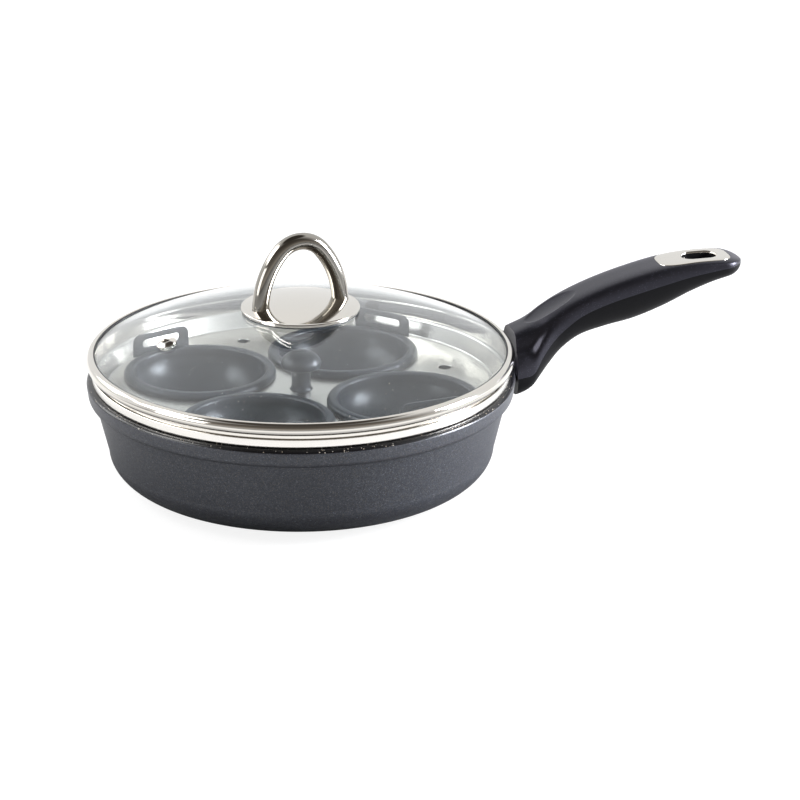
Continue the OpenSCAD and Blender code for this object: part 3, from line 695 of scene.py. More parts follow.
# %% [markdown]
# ## The tray
# The tray is one steel sheet, pressed to a flat plate with a wall that stands in the
# pan, a ledge on the pan's lip and an upright collar. Its holes are punched, which
# leaves a small rounding at each edge that catches the light. The sheet is one turned
# profile; the holes are cut a little too wide, and a ring of the edge's own round
# section fills each of them up.

# %% Tray sizes
TRAY_T, TRAY_BEND, COLLAR_BEND, NOSE, TRAY_DEPTH = 0.8, 1.6, 0.8, 0.4, 10.5
PLATE_Z = PAN_H - TRAY_DEPTH + TRAY_T
LEDGE_Z = PAN_H + TRAY_T
COLLAR_R, COLLAR_TOP = RIM_R - 3.2, PAN_H + 5.4
TRAY_LOW_R, TRAY_TOP_R = BORE_LOW_R - 0.8, BORE_TOP_R - 0.8
STEAM_RING_R, STEAM_R = 92.0, 3.85
CUP_RING_R, CUP_TURN, CUP_HOLE_R = 64.61, 53.6, 41.09
TRAY_SCREW_R, TRAY_CUT = 2.1, (40, 60)


def tray_profile():
    """The sheet's upper line from the middle out: plate, bend, leaning wall, bend, ledge,
    bend and collar; then its lower line, one thickness away, back to the middle."""
    t, b, c = TRAY_T, TRAY_BEND, COLLAR_BEND
    lean = math.degrees(math.atan2(TRAY_TOP_R - TRAY_LOW_R, TRAY_DEPTH - t))
    low_x, top_x, ledge_x = TRAY_LOW_R - b - t, TRAY_TOP_R + b, COLLAR_R - t - c
    upper = outline(
        (0, PLATE_Z), arc(low_x, PLATE_Z + b, b, b, -90, -lean, 10),
        arc(top_x, LEDGE_Z - b - t, b + t, b + t, 180 - lean, 90, 10),
        arc(ledge_x, LEDGE_Z + c, c, c, -90, 0, 8), (COLLAR_R - t, COLLAR_TOP - 0.2),
        (COLLAR_R - t + 0.2, COLLAR_TOP))
    lower = outline(
        (0, PLATE_Z - t), arc(low_x, PLATE_Z + b, b + t, b + t, -90, -lean, 10),
        arc(top_x, LEDGE_Z - b - t, b, b, 180 - lean, 90, 10),
        arc(ledge_x, LEDGE_Z + c, c + t, c + t, -90, 0, 8), (COLLAR_R, COLLAR_TOP - 0.2),
        (COLLAR_R - 0.2, COLLAR_TOP))
    return np.concatenate([upper, lower[::-1]])


print("tray's wall leans out from", round(TRAY_LOW_R, 2), "to", round(TRAY_TOP_R, 2))

# %% [markdown]
# Holes are cut with Boolean modifiers. Left live, these would be worked out again for
# every view, so their result is kept as a mesh, and the cutters are removed.

# %% Cutting and joining


def bored(target, cutters):
    """Cuts closed meshes out of a closed mesh with the exact Boolean, and keeps the
    result as the mesh."""
    holder = placed("bored", finished(target))
    for k, cutter in enumerate(cutters):
        cut = holder.modifiers.new(f"cut_{k}", "BOOLEAN")
        cut.operation, cut.solver = "DIFFERENCE", "EXACT"
        cut.object = placed(f"cutter_{k}", finished(cutter))
    bpy.context.view_layer.update()
    graph = bpy.context.evaluated_depsgraph_get()
    result = bpy.data.meshes.new_from_object(holder.evaluated_get(graph))
    for obj in [m.object for m in holder.modifiers] + [holder]:
        bpy.data.objects.remove(obj)
    return finished(result)


def at_height(line, z):
    """A line of the plan as points (x, y, z), at one height or at one for each point."""
    return np.column_stack([line, np.full(len(line), z)])


def column(line, low, high):
    """A closed column over a line of the plan, from one height to another."""
    rows = np.stack([at_height(line, low), at_height(line, high)])
    return grid_mesh("column", rows, round_v=True, caps=(0, -1))


def rod(radius, low, high, middle=(0, 0), steps=64):
    """A column over a circle round the middle."""
    t = np.linspace(0, 2 * np.pi, steps, endpoint=False)
    x, y = middle[0] + radius * np.cos(t), middle[1] + radius * np.sin(t)
    return column(np.stack([x, y], -1), low, high)


def together(meshes):
    """Puts several meshes into the first one."""
    work = bmesh.new()
    for mesh in meshes:
        work.from_mesh(mesh)
    work.to_mesh(meshes[0])
    work.free()
    return meshes[0]


print("cutting helpers are ready")

# %% Tray


def pressed_tray():
    """The sheet with its eight punched holes and the screw's hole."""
    holes = [(CUP_HOLE_R, turned(CUP_RING_R, 0, CUP_TURN + 90 * k), 160) for k in range(4)]
    holes += [(STEAM_R, turned(STEAM_RING_R, 0, CUP_TURN - 45 + 90 * k), 64) for k in range(4)]
    cutters = [rod(r + NOSE, *TRAY_CUT, at, n) for r, at, n in holes]
    sheet = bored(revolved(tray_profile(), 256, closed=False),
                  cutters + [rod(TRAY_SCREW_R, *TRAY_CUT)])
    z = PLATE_Z - TRAY_T / 2
    edges = [revolved(arc(r + NOSE, z, NOSE, TRAY_T / 2, 90, 270, 10), n, at, closed=False)
             for r, at, n in holes]
    return finished(together([sheet] + edges))


tray_mesh = pressed_tray()
piece("insert_tray", tray_mesh, "tray", SATIN, "tray_plate")
# The base disc keeps its measured form: a copy of it is joined and shaded smooth
disc_mesh = finished(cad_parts["base_disc"].data.copy(), weld=0.004)
disc_mesh.materials.clear()
piece("induction_disc", disc_mesh, "pan", SATIN, "base_disc")
print("tray and disc faces:", len(tray_mesh.polygons), len(disc_mesh.polygons))

# %% [markdown]
# ## The knob
# The knob is a small mushroom: a domed cap, a hollow below it and a waisted stem, so
# that fingers lift the tray by the cap. A squashed ball on a cylinder would look like
# it, but one profile lets the hollow run smoothly into the stem.

# %% Knob
KNOB_H, CAP_R, DOME_H, STEM_R = 23.0, 11.8, 7.4, 5.65
FOOT_W, FOOT_H = 1.2, 3.6


def knob_profile():
    """From the flared foot up the waist, round the cap's lower edge, and over its dome."""
    cap_z = KNOB_H - DOME_H
    return outline(
        (0, 0), arc(STEM_R + FOOT_W, FOOT_H, FOOT_W, FOOT_H, 270, 180, 10),
        arc(STEM_R + 9.2, cap_z - 8.2, 9.2, 9.2, 180, 146, 16),
        arc(CAP_R - 1.6, cap_z - 0.9, 1.6, 1.6, -70, 0, 10),
        arc(0, cap_z, CAP_R, DOME_H, 4, 90, 24)) + [0, PLATE_Z]


knob_mesh = finished(revolved(knob_profile(), 96, closed=False))
piece("lifting_knob", knob_mesh, "tray", CUP_COATING, "tray_knob")
print("knob's top at", PLATE_Z + KNOB_H)

# %% [markdown]
# ## The egg cups
# Each cup is drawn from one sheet: a deep round bowl, a rim that rolls over and down to
# the tray, and one tab that is bent up and has a slot for a fork. The bowl and rim are
# a profile; the tab is a flat plate, whose surface runs round between the slot's edge
# and the outer edge.

# %% Cup sizes
CUP_RIM_R, CUP_RIM_H, CUP_RIM_W, CUP_DEPTH, CUP_T = 44.79, 3.9, 5.8, 27.5, 1.2
CUP_BOWL_R = CUP_RIM_R - CUP_RIM_W
RIM_ROUND, THROAT, DROP = 2.6, 1.8, 1.4
TAB_W, TAB_H, TAB_R, TAB_T, TAB_ROUND = 39.0, 15.6, CUP_RIM_R - 2.8, 1.6, 0.5
TAB_CORNER, SLOT_LEN, SLOT_H, SLOT_DROP = 5.0, 26.0, 5.0, 5.8
TAB_TURNS = (41, 111.6, 255, 277)


def cup_profile():
    """Inside of the bowl, over the rolled rim, down to the tray and back outside."""
    side_r, side_h, low = CUP_BOWL_R + DROP - THROAT, CUP_DEPTH - DROP, CUP_RIM_H - DROP
    edge = CUP_RIM_R - RIM_ROUND
    return outline(
        arc(0, low, side_r, side_h, -90, -8, 48),
        arc(CUP_BOWL_R + DROP, CUP_RIM_H - THROAT, THROAT, THROAT, 170, 100, 12),
        arc(edge, CUP_RIM_H - RIM_ROUND, RIM_ROUND, RIM_ROUND, 80, 0, 14),
        arc(CUP_RIM_R - CUP_T / 2, 0.3, CUP_T / 2, 0.3, 0, -180, 6),
        arc(edge, CUP_RIM_H - RIM_ROUND, RIM_ROUND - CUP_T, RIM_ROUND - CUP_T, 0, 80, 8),
        (CUP_BOWL_R + 0.9 * THROAT, CUP_RIM_H - CUP_T - THROAT / 3),
        arc(0, low, side_r + CUP_T, side_h + CUP_T, -8, -90, 48))


def evenly(path, count):
    """Points at even distances along a closed path, from its first point."""
    loop = np.concatenate([path, path[:1]])
    run = np.concatenate([[0], np.cumsum(np.hypot(*np.diff(loop, axis=0).T))])
    at = np.linspace(0, run[-1], count, endpoint=False)
    return np.stack([np.interp(at, run, loop[:, k]) for k in (0, 1)], -1)


def by_angle(path, middle, count):
    """Where rays from the middle, at even angles, meet a closed path round it."""
    loop = path - np.array(middle)
    angle = np.arctan2(loop[:, 1], loop[:, 0]) % (2 * np.pi)
    order = np.argsort(angle)
    angle, loop = angle[order], loop[order]
    far = np.hypot(*loop.T)
    t = np.linspace(0, 2 * np.pi, count, endpoint=False)
    reach = np.interp(t, angle, far, period=2 * np.pi)
    return np.stack([middle[0] + reach * np.cos(t), middle[1] + reach * np.sin(t)], -1)


def slotted_plate(outer, slot, thickness, round_over, steps=200):
    """A plate between two closed outlines in its own plane. Round the plate, each
    section runs over the front, round the outer edge, over the back and round the
    slot's edge; round_over is the radius of the edges' rounding."""
    middle = slot.mean(0)
    o, s = by_angle(outer, middle, steps), by_angle(slot, middle, steps)
    away = (o - s) / np.hypot(*(o - s).T)[:, None]
    bend = np.radians(np.linspace(0, 90, 5))
    rows = []
    for edge, sign, side in ((o, 1, 1), (o, 1, -1), (s, -1, -1), (s, -1, 1)):
        for a in bend if side == sign else bend[::-1]:
            inset = round_over * (1 - np.sin(a)) * sign
            height = side * (thickness / 2 - round_over * (1 - np.cos(a)))
            rows.append(at_height(edge - away * inset, height))
    return np.stack(rows, 1)


def slot_line(length, height, steps):
    """The edge of a slot with round ends: a half circle right and one left."""
    h, e = height / 2, (length - height) / 2
    return outline(arc(e, 0, h, h, 0, 90, steps), arc(-e, 0, h, h, 90, 270, 2 * steps),
                   arc(e, 0, h, h, 270, 360, steps)[:-1])


def cup_tab(turn, middle):
    """The tab stands on the rim, square to the line from the cup's middle. Its two
    upper corners are round."""
    foot = CUP_RIM_H - CUP_T
    half, top, c = TAB_W / 2, TAB_H - foot, TAB_CORNER
    outer = evenly(outline(
        arc(half - c, top - c, c, c, 0, 90, 10), arc(c - half, top - c, c, c, 90, 180, 10),
        (-half, 0), (half, 0)), 1200)
    slot = evenly(slot_line(SLOT_LEN, SLOT_H, 10) + [0, top - SLOT_DROP], 800)
    flat = slotted_plate(outer, slot, TAB_T, TAB_ROUND)
    x, y = turned(flat[..., 2] + TAB_R, flat[..., 0], turn)
    return np.stack([middle[0] + x, middle[1] + y, flat[..., 1] + foot + PLATE_Z], -1)


print("cup's bowl radius", round(CUP_BOWL_R, 2), "depth", CUP_DEPTH)

# %% Cups


def egg_cup(k, body):
    """Bowl and tab joined into one mesh."""
    middle = turned(CUP_RING_R, 0, CUP_TURN + 90 * k)
    bowl = revolved(cup_profile() + [0, PLATE_Z], 160, middle, closed=False)
    tab = grid_mesh("tab", cup_tab(TAB_TURNS[k], middle), round_u=True, round_v=True)
    return piece(f"egg_cup_{k + 1}", finished(together([bowl, tab])), body,
                 CUP_COATING, f"cup_{k + 1}")


cups = [egg_cup(k, body) for k, body in enumerate(("cup_one", "cup_two", "cup_three", "cup_four"))]
print("cups:", [c.name for c in cups])

# %% [markdown]
# ## The lid's glass and band
# The glass is a slice of a large ball, 3.5 mm thick. The band is a thin strip rolled
# over its edge: a narrow lip on the glass, a broad round roll and a skirt that stands
# in the tray's collar. Both are profiles; the roll gets many points, because polished
# steel shows every facet.

# %% Lid sizes
LID_R, ROLL_R = RIM_R - 0.2, 3.85
SKIRT_R = COLLAR_R - TRAY_T - 0.4
ROLL_X, ROLL_Z = LID_R - ROLL_R, COLLAR_TOP + 2.5 + ROLL_R
COVER_R, LIP_Z = ROLL_X - 0.3, ROLL_Z + ROLL_R
BAND_T, SEAL_T, SEAL_SHOW, GLASS_T = 0.7, 0.4, 0.8, 3.5
GLASS_R = LID_R - BAND_T - SEAL_T - 1.8
FOOT_Z = LIP_Z - BAND_T - SEAL_T - 0.15
LID_DOME_H = 27.4
BALL_R = (COVER_R ** 2 + LID_DOME_H ** 2) / (2 * LID_DOME_H)
BALL_Z = FOOT_Z + LID_DOME_H - BALL_R
GLASS_TOP = FOOT_Z + LID_DOME_H
GASKET_T, SCREW_HOLE_R = 0.7, 3.5
LOOP_TURN = 8.5
VENT_R, VENT_TURN, VENT_D, EYELET_R, VENT_BORE_R = LID_R - 43.2, 186.5, 4.0, 6.1, 3.6


def dome(shrink, r0, r1, steps):
    """Heights on the glass's ball, or on one inside it by shrink: the root of R squared
    minus r squared."""
    r = np.linspace(r0, r1, steps + 1)
    return np.stack([r, BALL_Z + np.sqrt((BALL_R - shrink) ** 2 - r ** 2)], -1)


def glass_profile():
    """Outer ball, a ground edge that is a little rounded, inner ball, and the bore for
    the screw."""
    return outline(
        dome(0, SCREW_HOLE_R, GLASS_R - 0.5, 90), dome(0.4, GLASS_R, GLASS_R, 1)[:1],
        dome(GLASS_T - 0.4, GLASS_R, GLASS_R, 1)[:1],
        dome(GLASS_T, GLASS_R - 0.5, SCREW_HOLE_R, 90))


def band_profile():
    """The short lip on the glass, the roll, the hollow bend under it and the skirt, as
    one strip of even thickness."""
    t, turn = BAND_T, 1.2
    outer = outline(
        (COVER_R, LIP_Z - 0.2), arc(ROLL_X, ROLL_Z, ROLL_R, ROLL_R, 88, -62, 64),
        arc(SKIRT_R + turn, ROLL_Z - ROLL_R - 0.4, turn, turn, 120, 180, 8),
        (SKIRT_R, LEDGE_Z + 0.6), (SKIRT_R - 0.4, LEDGE_Z))
    inner = outline(
        (SKIRT_R - t, LEDGE_Z), (SKIRT_R - t, LEDGE_Z + 0.6),
        arc(SKIRT_R + turn, ROLL_Z - ROLL_R - 0.4, turn + t, turn + t, 180, 120, 8),
        arc(ROLL_X, ROLL_Z, ROLL_R - t, ROLL_R - t, -62, 88, 40),
        (COVER_R, LIP_Z - t))
    return np.concatenate([outer, inner])


print("glass top at", round(GLASS_TOP, 2), "ball radius", round(BALL_R, 2))

# %% Glass and band


def at_vent(mesh):
    """Moves a mesh from the origin up onto the dome's top, leans it down to the vent by
    the dome's own slope, and turns it to the vent's side."""
    p = np.zeros(len(mesh.vertices) * 3)
    mesh.vertices.foreach_get("co", p)
    x, y, z = p.reshape(-1, 3).T / MM
    b, up = math.asin(VENT_R / BALL_R), z + BALL_R
    x, z = x * math.cos(b) + up * math.sin(b), up * math.cos(b) - x * math.sin(b)
    x, y = turned(x, y, VENT_TURN)
    mesh.vertices.foreach_set("co", (np.stack([x, y, z + BALL_Z], -1) * MM).ravel())
    return mesh


def eyelet_profile():
    """A tube through the glass, rolled out over it into a rounded flange on both sides."""
    hole, tube = VENT_D / 2, VENT_D / 2 + 1.5
    low = -GLASS_T - (BALL_R - math.sqrt(BALL_R ** 2 - EYELET_R ** 2)) - 0.05
    return outline(
        (hole, low - 0.6), (hole, 0.9), arc(hole + 0.9, 1.4, 0.9, 0.9, 180, 60, 10),
        arc(EYELET_R - 0.5, 0.55, 0.5, 0.5, 60, -90, 8), (tube, 0.05), (tube, low),
        (EYELET_R - 0.8, low), (EYELET_R - 1.2, low - 0.6))


def seal_profile():
    """A strip that is folded round the glass's edge: out over the glass, down past its
    edge, in below it, and back close to the glass all the way."""
    hair = 0.025
    c, top_r, low_r = SEAL_T + hair, COVER_R - SEAL_SHOW, GLASS_R - 2
    return outline(
        dome(-c, top_r, GLASS_R + c, 3), dome(GLASS_T + c, GLASS_R + c, low_r, 3),
        dome(GLASS_T + hair, low_r, GLASS_R + hair, 3), dome(-hair, GLASS_R + hair, top_r, 3))


glass_mesh = bored(revolved(glass_profile(), 256), [at_vent(rod(VENT_BORE_R, -12, 8))])
glass = piece("glass_dome", glass_mesh, "lid", GLASS, "lid_glass")
glass.visible_shadow = False
band_mesh = finished(revolved(band_profile(), 360))
piece("lid_rim", band_mesh, "lid", POLISHED, "lid_band")
seal_mesh = finished(revolved(seal_profile(), 256))
piece("edge_seal", seal_mesh, "lid", SILICONE, "lid_seal")
eyelet_mesh = finished(at_vent(revolved(eyelet_profile(), 96)))
piece("vent_ring", eyelet_mesh, "lid", POLISHED, "vent_eyelet")
print("glass and band faces:", len(glass_mesh.polygons), len(band_mesh.polygons))

# %% [markdown]
# ## The mounting plate and the loop
# The loop is a bar of 10 mm, bent over a small radius at the top and wide radii at the
# sides, and its feet go through the plate. A Bezier curve with a round bevel would
# give the bar; here a circle is carried along arcs that meet without a kink.

# %% Plate and loop
PLATE_R, PLATE_RISE, PLATE_EDGE, PLATE_T = 34.7, 4.0, 1.6, 1.1
MOUNT_Z = BALL_Z + math.sqrt((BALL_R + GASKET_T) ** 2 - (PLATE_R - PLATE_T) ** 2) + 0.01
EDGE_Z = MOUNT_Z + PLATE_EDGE
PLATE_BALL = (PLATE_R ** 2 + PLATE_RISE ** 2) / (2 * PLATE_RISE)
PLATE_MID = EDGE_Z + PLATE_RISE - PLATE_BALL
BAR_R, LOOP_SPAN, LOOP_H, LOOP_TOP_R, LOOP_BEND = 5.0, 49.6, 44.6, 16.8, 50
LOOP_FOOT = GLASS_TOP + GASKET_T - 0.5


def plate_profile():
    """A shallow ball with a rounded, turned-down edge, hollow below."""
    r = np.linspace(0, PLATE_R - 0.8, 40)
    top = np.stack([r, PLATE_MID + np.sqrt(PLATE_BALL ** 2 - r ** 2)], -1)
    lower = np.stack([r[::-1], top[::-1, 1] - PLATE_T], -1)[3:]
    return outline(
        top, arc(PLATE_R - 0.7, EDGE_Z - 0.45, 0.7, 0.7, 80, 0, 8), (PLATE_R, MOUNT_Z + 0.2),
        (PLATE_R - 0.2, MOUNT_Z), (PLATE_R - PLATE_T, MOUNT_Z), lower)


def loop_path():
    """Left foot, left bend, top bend, right bend, right foot, in the loop's own plane."""
    bend = math.radians(LOOP_BEND)
    side_r = (LOOP_SPAN / 2 - LOOP_TOP_R * math.sin(bend)) / (1 - math.sin(bend))
    top_z = EDGE_Z + LOOP_H - BAR_R - LOOP_TOP_R
    foot_z = top_z - (side_r - LOOP_TOP_R) * math.cos(bend)
    shift = (side_r - LOOP_TOP_R) * math.sin(bend)
    half = outline(
        (LOOP_SPAN / 2, LOOP_FOOT), arc(-shift, foot_z, side_r, side_r, 0, 90 - LOOP_BEND, 30),
        arc(0, top_z, LOOP_TOP_R, LOOP_TOP_R, 90 - LOOP_BEND, 90, 24)[1:])
    return np.concatenate([half, half[-2::-1] * [-1, 1]])


def swept(path, radius, turn, steps=48):
    """A circle carried along a path in an upright plane: each point is the path's point
    plus radius times (cos a of the path's normal + sin a of the plane's normal)."""
    along = np.gradient(path, axis=0)
    along /= np.hypot(*along.T)[:, None]
    a = np.linspace(0, 2 * np.pi, steps, endpoint=False)[None]
    x = path[:, :1] + radius * np.cos(a) * along[:, 1:]
    z = path[:, 1:] - radius * np.cos(a) * along[:, :1]
    x, y = turned(x, radius * np.sin(a) + 0 * x, turn)
    return grid_mesh("swept", np.stack([x, y, z], -1), round_v=True, caps=(0, -1))


feet = [rod(BAR_R + 0.12, GLASS_TOP - 5, GLASS_TOP + 12, turned(x, 0, LOOP_TURN))
        for x in (-LOOP_SPAN / 2, LOOP_SPAN / 2)]
plate_mesh = bored(revolved(plate_profile(), 192, closed=False), feet)
piece("mounting_plate", plate_mesh, "lid", POLISHED, "lid_plate")
loop_mesh = finished(swept(loop_path(), BAR_R, LOOP_TURN))
piece("lid_handle", loop_mesh, "lid", SHADED_LOOP_STEEL, "lid_loop")
print("loop's feet at", round(LOOP_FOOT, 2), "plate's edge at", round(EDGE_Z, 2))

# %% [markdown]
# ## The handle
# The handle is the one free form. A flat-topped neck rises out of a flared foot that
# follows the pan, with a hollow for the thumb where the two meet, swells for the palm
# and ends round. Its lower half is hard phenolic, and its upper half has a soft skin.
# A sculpted mesh would do, but two short tables of stations, joined by smooth cubics,
# give the same form and can be read: above the seam, each section is a rounded box
# for the neck that is joined to a wider and lower one for the foot.

# %% Handle form
ROOT_X, HANDLE_LEN, TIP_ROUND, TIP_PLAN_ROUND = 128.0, 142.0, 9.0, 13.0
TIP_X = ROOT_X + HANDLE_LEN
# Share of the length, then heights above the lip of top, seam and underside, half width
FORM = np.array([
    [-0.04, 14.1, -8, -23, 14],
    [0.01, 17.2, -7.2, -22, 14],
    [0.06, 20, -5.5, -18.5, 14],
    [0.10, 22.8, 3, -13.2, 14.1],
    [0.14, 26.4, 10, -6.6, 14.4],
    [0.20, 31.1, 17.6, 2.6, 14.9],
    [0.28, 36.2, 25.4, 10, 15],
    [0.39, 41.8, 31.5, 14.2, 15.2],
    [0.52, 46.9, 36.5, 17.8, 15.6],
    [0.65, 50.7, 41, 24.2, 15.9],
    [0.76, 52.2, 44.4, 31.4, 15.9],
    [0.86, 52.3, 46.4, 36.8, 15.6],
    [0.94, 51.6, 47.6, 39.6, 15],
    [1.00, 50.6, 48.2, 40.6, 14]])
# Share of the length, half the foot's width, and its height above the seam
FLARE = np.array([
    [-0.04, 22.6, 13.8], [0.01, 22.4, 13.6], [0.06, 21.2, 13.6], [0.10, 19, 12],
    [0.14, 16.6, 10.4], [0.20, 13, 7], [0.28, 10, 3], [1.00, 10, 1]])
BOX_POWER, JOIN_POWER, LOW_POWER = 4.4, 9, 0.86
THUMB_DEPTH, THUMB_MID, THUMB_LEN, THUMB_W = 1.8, 0.167, 0.108, 8.7


def along_form(table, u, column_number):
    """The cubic through all stations: between two of them, the Hermite blend of their
    values and slopes, where a slope is taken between the neighbours on both sides."""
    at, v = table[:, 0], table[:, column_number]
    k = np.arange(len(at))
    before, after = np.maximum(k - 1, 0), np.minimum(k + 1, len(at) - 1)
    slope = (v[after] - v[before]) / (at[after] - at[before])
    i = np.clip(np.searchsorted(at, u) - 1, 0, len(at) - 2)
    w = at[i + 1] - at[i]
    t = (u - at[i]) / w
    t2, t3 = t * t, t * t * t
    return (v[i] * (2 * t3 - 3 * t2 + 1) + v[i + 1] * (3 * t2 - 2 * t3)
            + w * (slope[i] * (t3 - 2 * t2 + t) + slope[i + 1] * (t3 - t2)))


def closing(x, length):
    """1 along the handle, then a quarter circle down to almost 0 at the round end."""
    past = np.clip((x - TIP_X + length) / length, 0, 1)
    return np.sqrt(np.maximum(0.0004, 1 - past ** 2))


def box_reach(c, s, b, h):
    """How far a rounded box of half sizes 1 / b and 1 / h reaches along (c, s): the sum
    of |c b| and |s h|, each to BOX_POWER, to the power -1 / BOX_POWER."""
    return (np.abs(c * b) ** BOX_POWER + np.abs(s * h) ** BOX_POWER) ** (-1 / BOX_POWER)


def joined(first, second):
    """The larger of two reaches, with a soft hollow where they are alike."""
    return (first ** JOIN_POWER + second ** JOIN_POWER) ** (1 / JOIN_POWER)


def handle_point(x, a, grow=0.0):
    """A point of the section at x, at angle a in degrees, grown outwards. Above the
    seam it lies at the joined reach of the neck's and the foot's box, less the thumb's
    hollow; below it the section is an ellipse that is bent a little square."""
    u = (x - ROOT_X) / HANDLE_LEN
    c, s = np.cos(np.radians(a)), np.sin(np.radians(a))
    up = s >= -1e-9
    top, seam, low, half = (along_form(FORM, u, k) for k in (1, 2, 3, 4))
    half, rise, drop = half + grow, top - seam + grow, seam - low + grow
    foot_b = half / (along_form(FLARE, u, 1) + grow)
    foot_h = rise / (along_form(FLARE, u, 2) + grow)
    upper = joined(box_reach(c, s, 1, 1), box_reach(c, s, foot_b, foot_h))
    reach = np.where(up, upper, joined(1, 1 / foot_b))
    y = half * reach * np.where(up, c, bent(c, LOW_POWER)) * closing(x, TIP_PLAN_ROUND)
    z = np.where(up, rise * reach * s, drop * bent(s, LOW_POWER)) * closing(x, TIP_ROUND)
    hollow = np.maximum(0, 1 - ((u - THUMB_MID) / THUMB_LEN) ** 2 - (y / THUMB_W) ** 2) ** 0.6
    return np.stack([x + 0 * a, y, PAN_H + seam + z - THUMB_DEPTH * hollow * up], -1)


def handle_half(start, end, steps=96):
    """Half of every section, carried along the handle; the flat seam face closes it.
    Towards the round end the sections lie at even steps of its quarter circle."""
    x0, x1 = ROOT_X - 0.035 * HANDLE_LEN, TIP_X - TIP_PLAN_ROUND
    tip = x1 + TIP_PLAN_ROUND * np.sin(np.radians(np.linspace(3, 90, 30)))
    x = np.concatenate([np.linspace(x0, x1, 190), tip])
    a = np.linspace(start, end, steps + 1)
    return grid_mesh("half", handle_point(x[:, None], a[None]), round_v=True, caps=(0, -1))


print("handle from", ROOT_X, "to", TIP_X)

# %% [markdown]
# The inlay is a long shield of steel plate that lies in the upper half and follows its
# surface, with a sleeve down through the hanging hole. Its surface runs along rays
# from the hole's middle, from the hole's edge to the shield's edge, at the height that
# the section formula gives, so that the polished plate has no kinks.

# %% Inlay form
INLAY_LEN, INLAY_W, INLAY_T, INLAY_PROUD = 44.6, 24.6, 1.0, 0.2
INLAY_CORNER = 0.53
INLAY_X1 = TIP_X - 7.5
HANG_LEN, HANG_W, LINER_T = 21.0, 12.6, 0.8
HANG_X = INLAY_X1 - 7.9 - HANG_LEN / 2
# Distance in from the edge, and drop below the plate's surface
PLATE_BEVEL = ((0, INLAY_T), (0, 0.45), (0.12, 0.16), (0.4, 0.02))
HOLE_ROUND = ((0.9, 0.06), (0.5, 0.24), (0.2, 0.55), (0, 1.1))
RAYS = 240


def skin_height(x, y, upper=True, grow=0.0):
    """The height of the handle's skin over points of its plan: along each section the
    distance from the middle plane falls as the angle rises, so the angle where it
    equals |y| is looked up in a fine table of the section."""
    a = np.linspace(0, 90, 721)[None]
    section = handle_point(x[:, None], a if upper else -a, grow)
    across, height = section[..., 1], section[..., 2]
    k = np.clip((across > np.abs(y)[:, None]).sum(1), 1, across.shape[1] - 1)
    row = np.arange(len(x))
    y0, y1 = across[row, k - 1], across[row, k]
    share = np.clip((y0 - np.abs(y)) / (y0 - y1), 0, 1)
    return height[row, k - 1] + share * (height[row, k] - height[row, k - 1])


def shield_plan(grow=0.0):
    """The half length times cos a and the half width times sin a, both bent towards a
    rectangle with full round corners."""
    a = np.linspace(0, 2 * np.pi, 1440, endpoint=False)
    x = (INLAY_LEN / 2 + grow) * bent(np.cos(a), INLAY_CORNER)
    y = (INLAY_W / 2 + grow) * bent(np.sin(a), INLAY_CORNER)
    return np.stack([INLAY_X1 - INLAY_LEN / 2 + x, y], -1)


def slot_plan(grow=0.0):
    """The hanging hole, from even steps of its edge."""
    return evenly(slot_line(HANG_LEN + 2 * grow, HANG_W + 2 * grow, 40) + [HANG_X, 0], 1440)


def rays(plan):
    """A plan's points along even rays from the hole's middle."""
    return by_angle(plan, (HANG_X, 0), RAYS)


def on_plate(line, drop):
    """A line of the plan at the height of the plate's upper surface, less a drop."""
    return at_height(line, skin_height(*line.T, grow=INLAY_PROUD) - drop)


def inlay_surface():
    """Each ray's section goes over the plate from its bevelled edge to the hole's
    rounded edge, down the sleeve's inside, up its outside and back under the plate."""
    outer, hole, sleeve = rays(shield_plan()), rays(slot_plan()), rays(slot_plan(LINER_T))
    out = (outer - hole) / np.hypot(*(outer - hole).T)[:, None]
    rows = [on_plate(outer - out * inset, drop) for inset, drop in PLATE_BEVEL]
    rim_in, rim_out = hole + out * 1.3, outer - out * 0.7
    rows += [on_plate(rim_out + (rim_in - rim_out) * s, 0) for s in np.linspace(0, 1, 16)]
    rows += [on_plate(hole + out * inset, drop) for inset, drop in HOLE_ROUND]
    for line, lift in ((hole, 0.3), (hole + out * 0.2, 0), (sleeve, 0)):
        rows.append(at_height(line, skin_height(*line.T, upper=False) + lift))
    rows.append(on_plate(sleeve, INLAY_T))
    return grid_mesh("inlay", np.stack(rows, 1), round_u=True, round_v=True)


print("hanging hole's middle at", HANG_X)

# %% Handle pieces
SCREW_X, SCREW_SEAT_Z = ROOT_X + 6.5, LUG_Z - LUG_H / 2 - 2.9
SCREW_BORE_R, SCREW_HEAD_R = 2.8, 4.55
SLEEVE_DEPTH, UPRIGHT = 1.15, 0.3


def handle_tools():
    """What both halves leave free: the pan's curve, the lug with its screw, and the
    hanging hole."""
    at = (SCREW_X, 0)
    return [rod(ROOT_X, -40, 160, steps=360),
            rounded_bar(110, LUG_END + 0.3, LUG_Z, LUG_W / 2 + 0.3, LUG_H / 2 + 0.3),
            rod(SCREW_BORE_R, 20, LUG_Z, at), rod(SCREW_HEAD_R, 20, SCREW_SEAT_Z, at),
            column(rays(slot_plan(LINER_T)), 80, 140)]


def inlay_seat():
    """The recess for the inlay's plate: the shield, from the plate's underside up. Its
    floor is a fan of rings, so that it follows the skin."""
    edge = rays(shield_plan(0.1))
    middle = np.array([HANG_X, 0])
    rows = [at_height(edge, 140)]
    rows += [on_plate(middle + (edge - middle) * s, INLAY_T) for s in np.linspace(1, 0.02, 24)]
    return grid_mesh("seat", np.stack(rows), round_v=True, caps=(0, -1))


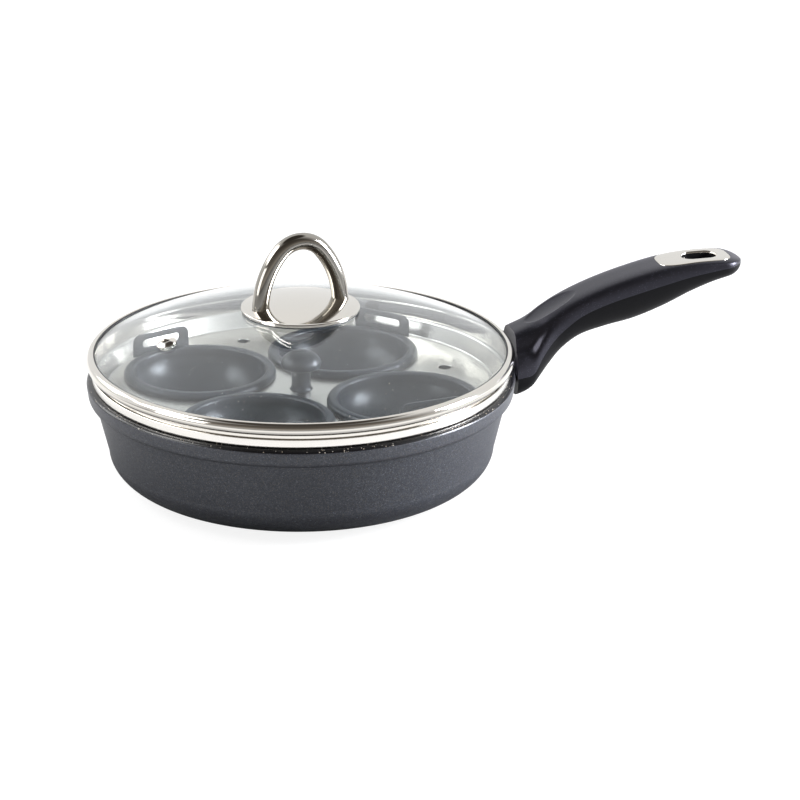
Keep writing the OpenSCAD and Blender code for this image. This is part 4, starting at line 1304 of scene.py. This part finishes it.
def dark_sleeve(mesh):
    """Upright faces of the sleeve, further than SLEEVE_DEPTH below the plate's surface,
    take the second material, the dark phenolic, so that the hole is dark further in."""
    middle, facing = faces_of(mesh)
    depth = skin_height(middle[:, 0], middle[:, 1], grow=INLAY_PROUD) - middle[:, 2]
    dark = (depth > SLEEVE_DEPTH) & (abs(facing[:, 2]) < UPRIGHT)
    mesh.polygons.foreach_set("material_index", dark.astype(np.int32))


upper_mesh = bored(handle_half(0, 180), handle_tools() + [inlay_seat()])
lower_mesh = bored(handle_half(180, 360), handle_tools())
piece("upper_grip", upper_mesh, "pan", SOFT_TOUCH, "handle_upper")
piece("lower_grip", lower_mesh, "pan", PHENOLIC, "handle_lower")
inlay_mesh = finished(inlay_surface())
piece("grip_inlay", inlay_mesh, "pan", [POLISHED, PHENOLIC], "handle_inlay")
dark_sleeve(inlay_mesh)
print("grip faces:", len(upper_mesh.polygons), len(lower_mesh.polygons))

# %% [markdown]
# ## Small parts
# The gasket is a thin soft sheet on the glass under the whole plate, and the washer a
# thick soft disc under the glass. Screws and the tray's washer keep their measured
# solids, and only get a finish.

# %% Small parts
SCREW_R, WASHER_R, WASHER_Z = 2.6, 12.0, 98.05


def gasket_profile():
    """The dome's own line one gasket's thickness up, and back just over the glass."""
    return outline(dome(-GASKET_T, SCREW_R, PLATE_R - 0.5, 16),
                   dome(-0.025, PLATE_R - 0.5, SCREW_R, 16))


def washer_profile():
    """Flat below, and shaped to the glass's inside above."""
    return outline((WASHER_R, WASHER_Z), (SCREW_R, WASHER_Z),
                   dome(GLASS_T + 0.025, SCREW_R, WASHER_R, 6))


gasket_mesh = finished(revolved(gasket_profile(), 128))
piece("plate_gasket", gasket_mesh, "lid", SILICONE, "lid_gasket")
washer_mesh = finished(revolved(washer_profile(), 96))
piece("soft_washer", washer_mesh, "lid", SILICONE, "lid_washer")
for node in ("handle_screw", "knob_washer", "knob_screw", "lid_screw"):
    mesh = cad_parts[node].data
    mesh.materials.clear()
    mesh.materials.append(MACHINED)
print("measured solids kept: three screws and a washer")

# %% [markdown]
# ## Finish
# The view transform is Standard, so that a colour comes out as it was written.

# %% Finish
bpy.context.scene.view_settings.view_transform = "Standard"
